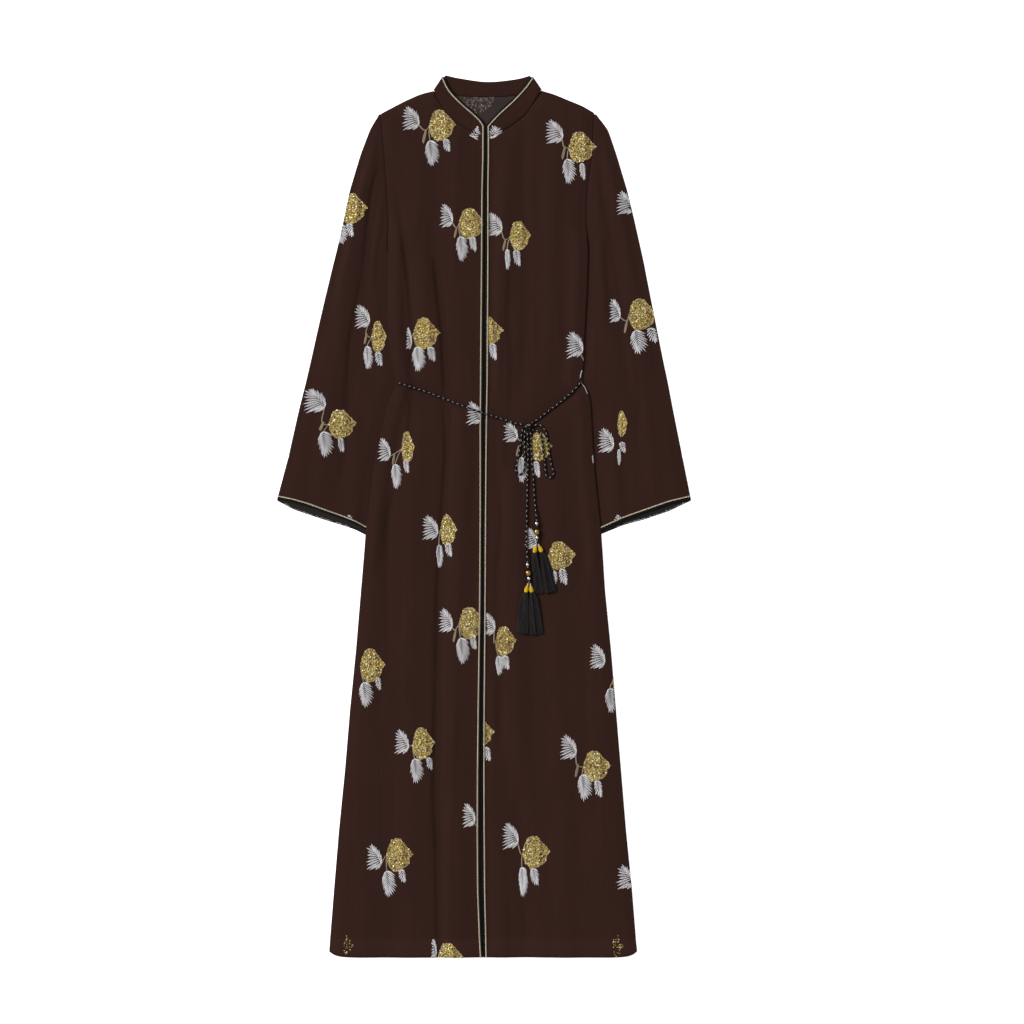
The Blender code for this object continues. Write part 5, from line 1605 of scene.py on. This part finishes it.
def laid_on(tops, path, gap):
    """A flat path lifted onto the surfaces, its height evened out."""
    height = np.array([tops.hit(x, y)[0] or 0.0 for x, y in path])
    for _ in range(2):
        ends = np.concatenate([height[:1], height, height[-1:]])
        height = np.maximum(height, (ends[:-2] + ends[1:-1] + ends[2:]) / 3.0)
    return np.column_stack([path, height + gap])


def swept(name, path, profile, look):
    """A bar of one cross-section along a path, its ends closed."""
    along = np.gradient(path[:, :2], axis=0)
    along /= np.linalg.norm(along, axis=1)[:, None]
    across = np.column_stack([along[:, 1], -along[:, 0], np.zeros(len(path))])
    points = np.stack([path + across * side + (0.0, 0.0, up) for side, up in profile], axis=1)
    return solid_of(name, points.reshape(-1, 3), ring_faces(*points.shape[:2]), look)


class ABAYA_OT_trimmings(bpy.types.Operator):
    """Lays the black edging and the gold cord along the collar, the fronts and the cuffs"""
    bl_idname = "abaya.trimmings"
    bl_label = "Edging and gold cord"

    def execute(self, context):
        trim = context.scene.abaya_trim
        binding = thread_look(
            "black satin binding", trim.edging, scale=2400.0, tints=(0.6, 2.4), rough=(0.42, 0.6),
            relief=0.00008, stretch=(0.35, 1.0, 1.0), detail=2.0, Specular_IOR_Level=0.08)
        gold = thread_look(
            "gold twist", trim.gold, scale=2600.0, tints=(0.45, 1.35), rough=(0.34, 0.54), relief=0.00012,
            patches=0.4, Metallic=0.55, Specular_IOR_Level=0.5)
        tops = Tops(SHEETS)
        half = EDGING_WIDTH / 2.0
        rounded = [(half * math.cos(turn), EDGING_HEIGHT * math.sin(turn) ** EDGING_ROUND)
                   for turn in np.linspace(0.0, math.pi, EDGING_POINTS)[1:-1]]
        profile = [(half, 0.0), *rounded, (-half, 0.0)]
        wind = strand_tree()
        for side in SIDES:
            paths = (("edging_", "gold_cord_", front_trim_path(side)),
                     ("cuff_edging_", "cuff_gold_", cuff_trim_path(side)))
            for edging, cord, path in paths:
                edge = laid_on(tops, inset(path, EDGING_FROM_EDGE, -outward(side)), REST_GAP)
                swept(edging + side, edge, profile, binding)
                line = laid_on(tops, inset(path, GOLD_FROM_EDGE, -outward(side)), REST_GAP + GOLD_RISE)
                made = path_object(cord + side, [line])
                grow(made, wind, **GOLD_WIND, Pitch=trim.pitch, Radius=trim.strand, Look=gold)
        return {"FINISHED"}


def turned(profile, segments, place, axis, closed=False):
    """Points and faces of a profile of radius and height turned round an axis."""
    turn = Vector((0.0, 0.0, 1.0)).rotation_difference(Vector(axis).normalized()).to_matrix()
    angles = np.linspace(0.0, math.tau, segments, endpoint=False)
    radius, height = (np.array(column)[:, None] for column in zip(*profile))
    points = np.stack([radius * np.cos(angles), radius * np.sin(angles),
                       np.broadcast_to(height, (len(profile), segments))], axis=-1)
    points = points @ np.array(turn).T + np.array(place)
    return points.reshape(-1, 3), ring_faces(len(profile), segments, closed)


def bead_profile(radius, half_length):
    """A barrel bead with its bore, run down the outside and back up the inside."""
    rim = BEAD_BORE + BEAD_RIM
    outer = []
    for n in range(BEAD_STEPS + 1):
        angle = math.pi * (0.5 - n / BEAD_STEPS)
        bulge = math.cos(angle) ** BEAD_BULGE if 0 < n < BEAD_STEPS else 0.0
        outer.append((rim + (radius - rim) * bulge, half_length * math.sin(angle)))
    return [*outer, (BEAD_BORE, -half_length), (BEAD_BORE, half_length)]


def laid_route(tops, points, raised, step):
    """A cord's route with its heights: on the cloth, and higher where beads need it."""
    route, length = smooth_route(points, step)
    fine, _ = smooth_route(points, FINE_STEP)
    needed = []
    for n, (x, y) in enumerate(fine):
        height = tops.highest(x, y, CORD_FOOTPRINT) + REST_GAP + CORD_RADIUS
        for place, level in raised:
            if math.dist((x, y), place) < BEAD_REACH:
                height = max(height, level)
        needed.append((n * length / (len(fine) - 1), height))
    placed = []
    for n, (x, y) in enumerate(route):
        here = n * length / (len(route) - 1)
        height = max(level - CORD_SLOPE * max(abs(place - here) - CORD_STEP, 0.0) for place, level in needed)
        placed.append((x, y, height))
    return curve_through(placed)


def knot_wraps(centre):
    """Turns of cord wound round the hitch, each a closed tilted ring."""
    x, y, z = centre
    rings = []
    for shift, tilt, wide, high in KNOT_TURNS:
        turn = np.linspace(0.0, math.tau, RING_POINTS)
        across, up = wide * np.cos(turn), high * np.sin(turn)
        rings.append(np.column_stack([
            x + shift * math.cos(tilt) - across * math.sin(tilt),
            y + shift * math.sin(tilt) + across * math.cos(tilt),
            np.full_like(turn, z) + up]))
    return rings


def helix(profile, top, low, turns, lift):
    """A thread wound down a turned shape."""
    axis = Vector(low) - Vector(top)
    length = axis.length
    axis.normalize()
    side = axis.orthogonal().normalized()
    other = axis.cross(side)
    share = np.linspace(0.0, 1.0, round(turns * TURN_POINTS))
    radius = np.interp(share * length, [-height for _, height in profile], [r for r, _ in profile]) + lift
    angle = share * turns * math.tau
    return (np.array(top) + np.outer(share * length, axis) + np.outer(radius * np.cos(angle), side)
            + np.outer(radius * np.sin(angle), other))


def fringe_lines(start, end, half_width, outer, dice):
    """Strands of a tassel: bunched under the cap and fanned out flat, more so on its outer side."""
    way = end - start
    length = np.linalg.norm(way)
    forward = way / length
    across = np.cross(forward, (0.0, 0.0, 1.0))
    across /= np.linalg.norm(across)
    up = np.cross(across, forward)
    shares = np.linspace(0.0, 1.0, FRINGE_POINTS)
    lines, thick, tone = [], [], []
    for _ in range(bpy.context.scene.abaya_belt.tassel_strands):
        place, layer = dice.uniform(-1.0, 1.0), dice.uniform(-1.0, 1.0)
        layer *= math.sqrt(1.0 - FRINGE_ROUND * place * place)
        reach = 1.0 - FRINGE_RAGGED * dice.random() ** 2 - FRINGE_CURVED * place * place
        waver, phase = dice.uniform(*FRINGE_WAVER), dice.uniform(0.0, math.tau)
        fan = FRINGE_FAN[0 if place * outer > 0.0 else 1]
        width = np.interp(shares, FRINGE_FAN_AT, [FRINGE_NECK, *(share * half_width for share in fan)])
        sideways = place * width + waver * shares * np.sin(phase + FRINGE_WAVES * shares)
        rise = layer * np.interp(shares, *FRINGE_DEPTH)
        run = shares * length * reach
        lines.append(start + np.outer(run, forward) + np.outer(sideways, across) + np.outer(rise, up))
        thick += [dice.uniform(*FRINGE_RADII)] * len(shares)
        tone += [dice.random() ** 2] * len(shares)
    return lines, {"thick": np.array(thick) * MM, "tone": tone}


def node_middle(name):
    """Middle of a CAD node's box."""
    low, high = (np.array(corner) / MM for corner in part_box(name))
    return (low + high) / 2.0


def belt_side(name):
    """The side that a belt piece's name ends with."""
    return name.rsplit("_", 1)[1]


def tie_knot(tops, braid, braided):
    """The hitch that the loops and tails come out of: turns of cord round a core."""
    level = tops.highest(*KNOT_CENTRE, KNOT_REACH) + REST_GAP + KNOT_RISE
    wraps = grow(path_object("belt_knot", knot_wraps((*KNOT_CENTRE, level))), braid, **braided)
    turns = np.linspace(KNOT_POLE, math.pi - KNOT_POLE, CORE_RINGS)
    profile = [(math.sin(turn), math.cos(turn)) for turn in turns]
    points, faces = turned(profile, CORE_SEGMENTS, (0.0, 0.0, 0.0), (0.0, 0.0, 1.0))
    core = solid_of("knot_core", points * KNOT_CORE + node_middle("belt_knot"), faces, braided["Cord"])
    join_up("belt_knot", [wraps, core])


def thread_bead(name, place, level, route, metals):
    """One bead on a tail, its bore along the cord."""
    metal = name.split("_")[2]
    nearest = int(np.argmin(np.hypot(route[:, 0] - place[0], route[:, 1] - place[1])))
    axis = route[max(nearest - BORE_REACH, 0)] - route[min(nearest + BORE_REACH, len(route) - 1)]
    axis[2] = 0.0
    centre = (*place, max(level, node_middle(name)[2]))
    points, faces = turned(bead_profile(*BEAD_SIZES[metal]), BEAD_SEGMENTS, centre, axis, closed=True)
    solid_of(name, points, faces, metals[metal])


def hang_tassel(tops, key, height, looks, threads, dice):
    """One cap on its pale thread with its winding, and the tassel under it."""
    top, low, end, half_width = TASSELS[key]
    middle = [mix(a, b, 0.5) for a, b in zip(low, end)]
    rest = max(tops.highest(*end, half_width), tops.highest(*middle, TASSEL_WAIST * half_width))
    beside_cap = tops.highest(*low, CAP_RADIUS) + REST_GAP + CAP_RADIUS
    floor = rest + REST_GAP + TASSEL_HALF_THICKNESS
    levels = (height, max(beside_cap, floor), floor)
    top, low, end = (np.array((*place, level)) for place, level in zip((top, low, end), levels))
    length = math.dist(top, low)
    profile = [(radius, -share * length) for radius, share in CAP]
    core = solid_of("cap_core", *turned(profile, CORE_SEGMENTS, top, top - low), looks["wound"])
    note(core, "tone", CORE_TONE)
    bell = [(radius, drop + CAP_NECK_SHARE * length) for radius, drop in profile[2:-1]]
    winding = helix(bell, mix(top, low, CAP_NECK_SHARE), low, CAP_TURNS, WINDING_LIFT)
    tone = 0.5 + 0.5 * np.sin(np.arange(len(winding)) * WINDING_TONE_STEP)
    coil = path_object(f"cap_{key}", [winding], thick=WINDING_RADIUS * MM, tone=tone)
    neck = [mix(top, low, share) for share in (0.0, 0.5 * CAP_NECK_SHARE, CAP_NECK_SHARE)]
    thread = path_object("cap_neck", [neck], thick=CAP_THREAD_RADIUS * MM, tone=0.5)
    coil = grow(coil, threads, Sides=6, Look=looks["wound"])
    join_up(f"cap_{key}", [coil, core, grow(thread, threads, Sides=8, Look=looks["pale"])])
    start = low + (end - low) / np.linalg.norm(end - low) * TASSEL_START
    outer = 1.0 if key.endswith("a") else -1.0
    lines, numbers = fringe_lines(start, end, half_width + FRINGE_SPREAD, outer, dice)
    grow(path_object(f"tassel_{key}", lines, **numbers), threads, Sides=4, Look=looks["fringe"])


def declare_belt(routes):
    """Every piece of the belt moves with the garment and stands for the CAD node of its name."""
    knot = keep("belt_knot")
    for name, route in routes.items():
        keep(name)
        side, tail = belt_side(name), name.startswith("belt_tail")
        on_it = [knot] if name == "belt_front_left" else []
        for label in BEAD_LABELS if tail else ():
            on_it.append(keep(f"bead_{side}_{label}"))
        for key in TASSELS:
            if tail and key.startswith(side):
                on_it.append(keep("cap_" + key))
                keep("tassel_" + key)


class ABAYA_OT_belt(bpy.types.Operator):
    """Braids the belt, ties its bow and hangs the beads, caps and tassels on its tails"""
    bl_idname = "abaya.belt"
    bl_label = "Belt and tassels"

    def execute(self, context):
        belt = context.scene.abaya_belt
        black = thread_look(
            "black braid", (0.0032, 0.0032, 0.0036), scale=2600.0, tints=(0.5, 2.2), rough=(0.5, 0.7),
            relief=0.0001, Specular_IOR_Level=0.12)
        flecks = fleck_look(silver=(0.45, 0.43, 0.39), dark=(0.0034, 0.0034, 0.0038))
        metals = {
            # side: share of the colour left at a bead's sides, which is painted shade
            "silver": bead_look("silver bead", belt.silver, side=0.05, rough=0.16),
            "gold": bead_look("gold bead", (0.60, 0.36, 0.10), side=0.4, rough=0.28),
        }
        looks = {
            "wound": fibre_look("yellow winding", belt.caps, play=0.38, rough=0.5, gloss=0.3),
            "pale": fibre_look("pale cap thread", (0.42, 0.40, 0.36), play=0.3, rough=0.45, gloss=0.4),
            "fringe": fibre_look("charcoal fringe", belt.fringe, play=0.62, rough=0.42, gloss=0.14),
        }
        braid, threads = braid_tree(strand_tree()), thread_tree()
        tops = Tops([name + side for name in ("front_", "edging_", "gold_cord_") for side in SIDES])
        braided = {"Radius": CORD_RADIUS * MM, "Pitch": belt.pitch, "Cord": black, "Fleck": flecks}
        tie_knot(tops, braid, braided)
        routes = {}
        for name, points in BELT.items():
            side, tail = belt_side(name), name.startswith("belt_tail")
            beads = BEADS[side] if tail else ()
            radius = BEAD_SIZES["gold"][0]
            level = max((tops.highest(*place, radius) for place in beads), default=0.0) + radius + REST_GAP
            step = LOOP_STEP if name.startswith("bow_loop") else CORD_STEP
            route = laid_route(tops, points, [(place, level) for place in beads], step)
            routes[name] = route
            grow(path_object(name, [route]), braid, **braided)
            for label, place in zip(BEAD_LABELS, beads):
                thread_bead(f"bead_{side}_{label}", place, level, route, metals)
            dice = np.random.default_rng(SEEDS[side])
            for key in TASSELS:
                if tail and key.startswith(side):
                    hang_tassel(tops, key, route[-1][2], looks, threads, dice)
        declare_belt(routes)
        return {"FINISHED"}


def in_box(row, place):
    """A place of a shape's own box on the garment."""
    _, _, x, y, width, height = row
    return np.array((x + (place[0] - 0.5) * width, y + (0.5 - place[1]) * height))


def inside(outline, place):
    """Whether a place lies in a closed outline."""
    within = False
    for (x1, y1), (x2, y2) in zip(outline, outline[1:] + outline[:1]):
        if (y1 > place[1]) != (y2 > place[1]) and place[0] < x1 + (place[1] - y1) * (x2 - x1) / (y2 - y1):
            within = not within
    return within


class Needle:
    """Lays threads and sequins on the panels and keeps them by panel and kind."""

    def __init__(self, tops, settings):
        self.tops = tops
        self.settings = settings
        self.dice = np.random.default_rng(settings.seed)
        self.lines, self.dots = {}, {}

    def lay(self, panel, kind, line, thick, tone, rise, within=False):
        """One thread; only the run of it that lies on its own panel is kept."""
        hits = [self.tops.hit(x, y) for x, y in line]
        low = SLEEVE_FRONT_ABOVE if panel.startswith("sleeve") and not within else 0.0
        on = [owner == panel and height > low for height, owner in hits]
        if True not in on:
            return
        first = on.index(True)
        last = next((n for n in range(first, len(on)) if not on[n]), len(on))
        count = last - first
        if count < 2:
            return
        arch = np.sin(np.linspace(0.0, math.pi, count))
        height = np.array([hits[n][0] for n in range(first, last)]) + THREAD_CLEARANCE + rise * arch
        lines, thicks, tones = self.lines.setdefault((kind, panel), ([], [], []))
        lines.append(np.column_stack([np.asarray(line)[first:last], height]))
        thicks += list(thick * mix(THREAD_END, 1.0, arch))
        tones += [tone] * count

    def stitch(self, name, panel, line, kind="gold_threads"):
        """One thread of a named kind of stitch."""
        thick, tone, play, rise = STITCHES[name]
        self.lay(panel, kind, line, thick, tone + play * self.dice.random(), rise)

    def dot(self, panel, x, y, tone):
        """One sequin, if the place is on its own panel."""
        height, owner = self.tops.hit(x, y)
        if owner == panel:
            places, tones = self.dots.setdefault(panel, ([], []))
            places.append((x, y, height + SEQUIN_CLEARANCE))
            tones.append(tone)

    def leaf(self, row):
        """Barbs of satin stitch fan out from the midrib, each a spindle with a gap beside it."""
        foot, point, *outlines = LEAVES[row[1]]
        base, tip = in_box(row, foot), in_box(row, point)
        spindle = BARB_START + (1.0 - BARB_START) * np.sin(math.pi * STITCH_SHARES ** BARB_BELLY)
        spindle[-1] = BARB_END
        for outline in outlines:
            edge = np.array([in_box(row, place) for place in (foot, *outline, point)])
            around, along = distances(edge)[-1], float(np.linalg.norm(tip - base))
            count = max(4, round((around + 2.0 * along) / 3.0 / BARB_SPACING))
            wide = BARB_WIDTH * around / count
            for number, middle in enumerate((np.arange(count) + 0.5) / count):
                tooth = BARB_TOOTH if number % 2 else -BARB_TOOTH
                long = 1.0 + tooth + self.dice.uniform(-BARB_PLAY, BARB_PLAY)
                light = BARB_TONE + self.dice.uniform(-BARB_TONE_PLAY, BARB_TONE_PLAY)
                start = mix(base, tip, max(middle - BARB_SWEEP, 0.0))
                way = at_shares(edge, [middle])[0] - start
                aside = np.array((-way[1], way[0])) / np.linalg.norm(way) * wide
                for n in BARB_STRANDS:
                    line = start + np.outer(STITCH_SHARES, way * (long - BARB_POINT * n * n))
                    line += np.outer(spindle * n, aside)
                    # the side strands are darker than the middle one: painted shade on the barb's rounded
                    # sides
                    tone = np.clip(light - BARB_SIDE_PAINTED_SHADE * abs(n), 0.0, 1.0)
                    rise = BARB_RISE - BARB_RISE_FALL * abs(n)
                    self.lay(row[0], "leaves", line, self.settings.thread / MM, tone, rise)

    def flower(self, row):
        """Sequins in offset rows, browner and sparser in one band, with a few pale stitches."""
        panel, shape, _, _, width, height = row
        step = self.settings.sequin_step / MM
        drop = step * SEQUIN_ROWS
        for n in range(round(height / drop) + 1):
            for m in range(round(width / step) + 1):
                aside, down = self.dice.uniform(-SEQUIN_PLAY, SEQUIN_PLAY, 2)
                place = ((m + 0.5 * (n % 2) + aside) * step / width, (n + down) * drop / height)
                chance, tone = self.dice.random(2)
                if not inside(FLOWER, place):
                    continue
                band = FLOWER_BAND[0] < place[0] < FLOWER_BAND[1] and width > BANDED_WIDTH
                if chance >= MISSING["band" if band else shape]:
                    self.dot(panel, *in_box(row, place), tone * (BAND_TONE if band else 1.0))
        if shape == "specks":
            return
        rim = np.array([in_box(row, place) for place in FLOWER + FLOWER[:1]])
        middle = in_box(row, (0.5, 0.5))
        for share in np.arange(0.0, 1.0, RIM_STITCH):
            ends = at_shares(rim, (share, share + RIM_LENGTH))
            ends = mix(ends, middle, self.dice.uniform(0.0, RIM_PLAY, (2, 1)))
            self.stitch("rim", panel, ends[0] + np.outer(STITCH_SHARES, ends[1] - ends[0]))

    def bud(self, row):
        """Five long stitches side by side."""
        for n in range(-2, 3):
            start = in_box(row, (0.74 + 0.04 * n, 0.0))
            end = in_box(row, (0.26 + 0.08 * n, 1.0 - 0.05 * abs(n)))
            bow = np.outer(np.sin(math.pi * STITCH_SHARES), (0.25 * n, 0.0))
            self.stitch("bud", row[0], start + np.outer(STITCH_SHARES, end - start) + bow)

    def stem(self, panel, line, kind="gold_threads"):
        """Two threads side by side along a line."""
        fine = at_shares(curve_through(line), STEM_SHARES)
        for shift in (-STEM_SHIFT, STEM_SHIFT):
            self.stitch("stem", panel, fine + (shift, shift), kind)

    def wrong_side(self, row):
        """The back of a flower shows as short loose strokes, pale ones over dark ones."""
        middle = in_box(row, WRONG_SIDE_MIDDLE)
        for n in range(LOOSE_STROKES):
            turn, out = self.dice.uniform(math.pi, math.tau), math.sqrt(self.dice.random())
            spoke = np.array((math.cos(turn) * row[4] / 2.0, math.sin(turn) * row[5] * WRONG_SIDE_DEPTH))
            length = self.dice.uniform(*LOOSE_LENGTH) / np.linalg.norm(spoke)
            line = middle + np.outer(mix(out - length, out, STITCH_SHARES), spoke)
            thick, tones, rise = LOOSE_ENDS["pale" if n > PALE_FROM else "dark"]
            tone = self.dice.uniform(*tones) if n > PALE_FROM else tones[0]
            self.lay(row[0], "wrong_side", line, thick, tone, rise)

    def cuff_ends(self, side):
        """Loose pale ends show along the edge of the cuff's back layer."""
        table = CUFFS[side]
        reach = table[0][0] - table[-1][0]
        for share in self.dice.uniform(*CUFF_STRETCH, CUFF_STROKES):
            x = table[0][0] - share * reach
            y = softened(table, x, 2) + self.dice.uniform(*CUFF_DROP)
            way = self.dice.uniform(*CUFF_STROKE)
            line = np.array((x, y)) + np.outer(STITCH_SHARES, way)
            tone = self.dice.uniform(*CUFF_TONE)
            self.lay("sleeve_" + side, "leaves", line, CUFF_THREAD, tone, CUFF_RISE, within=True)


def join_stems(needle):
    """Each flower's left point is joined to its leaf on the left, past its bud, and to its low leaf."""
    for flower in MOTIFS:
        if flower[1] != "flower":
            continue
        node = in_box(flower, FLOWER_STEM)
        own = [row for row in MOTIFS if row[0] == flower[0]]
        buds = [in_box(row, BUD_STEM) for row in own if row[1] == "bud"]
        fork = min(buds, key=lambda place: math.dist(place, node), default=node)
        if math.dist(fork, node) > FORK_REACH:
            fork = node + FORK_SHIFT
        for row in own:
            if row[1] not in ("leaf", "low_leaf"):
                continue
            start = in_box(row, LEAVES[row[1]][0])
            way = node - start
            upper = row[1] == "leaf"
            if math.hypot(*way) > STEM_REACH or (way[0] < LEAST_ASIDE if upper else way[1] < LEAST_DROP):
                continue
            between = fork if upper else start + LOW_BEND * way + LOW_SHIFT
            needle.stem(row[0], (tuple(start), tuple(between), tuple(node)))


class ABAYA_OT_embroidery(bpy.types.Operator):
    """Stitches the leaves, flowers, buds and stems on the panels"""
    bl_idname = "abaya.embroidery"
    bl_label = "Embroidery"

    def execute(self, context):
        settings = context.scene.abaya_embroidery
        trims = [name + side for name in TRIM_NODES for side in SIDES]
        needle = Needle(Tops([*SHEETS, *trims]), settings)
        makers = {"flower": needle.flower, "specks": needle.flower, "bud": needle.bud,
                  "wrong_side": needle.wrong_side}
        for row in MOTIFS:
            makers.get(row[1], needle.leaf)(row)
        for side in SIDES:
            needle.cuff_ends(side)
        join_stems(needle)
        for panel, kind, line in LOOSE_STEMS:
            needle.stem(panel, line, kind)
        looks = {
            "leaves": fibre_look("silver floss", settings.silver, play=0.5, rough=0.42, gloss=0.4),
            "gold_threads": fibre_look("gold floss", (0.37, 0.285, 0.19), play=0.35, rough=0.45, gloss=0.25),
            "wrong_side": fibre_look("loose ends", (0.19, 0.155, 0.13), play=0.85, rough=0.6, gloss=0.1),
        }
        threads = thread_tree()
        for (kind, panel), (lines, thicks, tones) in sorted(needle.lines.items()):
            made = path_object(f"{kind}_{panel}", lines, thick=np.array(thicks) * MM, tone=tones)
            grow(made, threads, Sides=3, Look=looks[kind])
        scatter, gold = sequin_tree(), sequin_look(settings.gold)
        for panel, (places, tones) in sorted(needle.dots.items()):
            made = path_object(f"sequins_{panel}", [[place] for place in places], tone=tones)
            grow(made, scatter, Radius=settings.sequin, Look=gold).data.shade_flat()
        return {"FINISHED"}


def keep(name):
    """The piece moves with the garment and stands for the CAD node of its name."""
    made = piece(name)
    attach(made, BODY_NAME)
    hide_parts(name)
    return made


def declare_cloth():
    """Every panel stands for its own node; what is sewn to it moves with it."""
    for side in SIDES:
        for start in TRIM_NODES:
            keep(start + side)
    for name, (flat, area, rests_on) in SHEETS.items():
        keep(name)
        sewn = []
        for kind in ("leaves_", "gold_threads_", "sequins_", "wrong_side_"):
            if PIECE + kind + name in bpy.data.objects:
                sewn.append(piece(kind + name))
                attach(sewn[-1], BODY_NAME)


class ABAYA_PT_sidebar(bpy.types.Panel):
    """Lists the garment's makers and their settings"""
    bl_idname = "ABAYA_PT_sidebar"
    bl_label = "Abaya"
    bl_space_type = "VIEW_3D"
    bl_region_type = "UI"
    bl_category = "Abaya"

    def draw(self, context):
        for operator in OPERATORS:
            self.layout.operator(operator.bl_idname)
        for name, group in SETTINGS.items():
            box = self.layout.box()
            for key in group.__annotations__:
                box.prop(getattr(context.scene, name), key)


OPERATORS = (ABAYA_OT_stage, ABAYA_OT_cloth, ABAYA_OT_trimmings, ABAYA_OT_belt, ABAYA_OT_embroidery)
SETTINGS = {
    "abaya_stage": AbayaStageSettings,
    "abaya_cloth": AbayaClothSettings,
    "abaya_trim": AbayaTrimSettings,
    "abaya_belt": AbayaBeltSettings,
    "abaya_embroidery": AbayaEmbroiderySettings,
}


def register():
    for name, group in SETTINGS.items():
        bpy.utils.register_class(group)
        setattr(bpy.types.Scene, name, bpy.props.PointerProperty(type=group))
    for made in (*OPERATORS, ABAYA_PT_sidebar):
        bpy.utils.register_class(made)


def unregister():
    for made in (ABAYA_PT_sidebar, *reversed(OPERATORS)):
        bpy.utils.unregister_class(made)
    for name, group in reversed(SETTINGS.items()):
        delattr(bpy.types.Scene, name)
        bpy.utils.unregister_class(group)


def main():
    register()
    bpy.ops.abaya.stage()
    bpy.ops.abaya.cloth()
    bpy.ops.abaya.trimmings()
    bpy.ops.abaya.belt()
    bpy.ops.abaya.embroidery()
    declare_cloth()


if __name__ == "__main__":
    main()
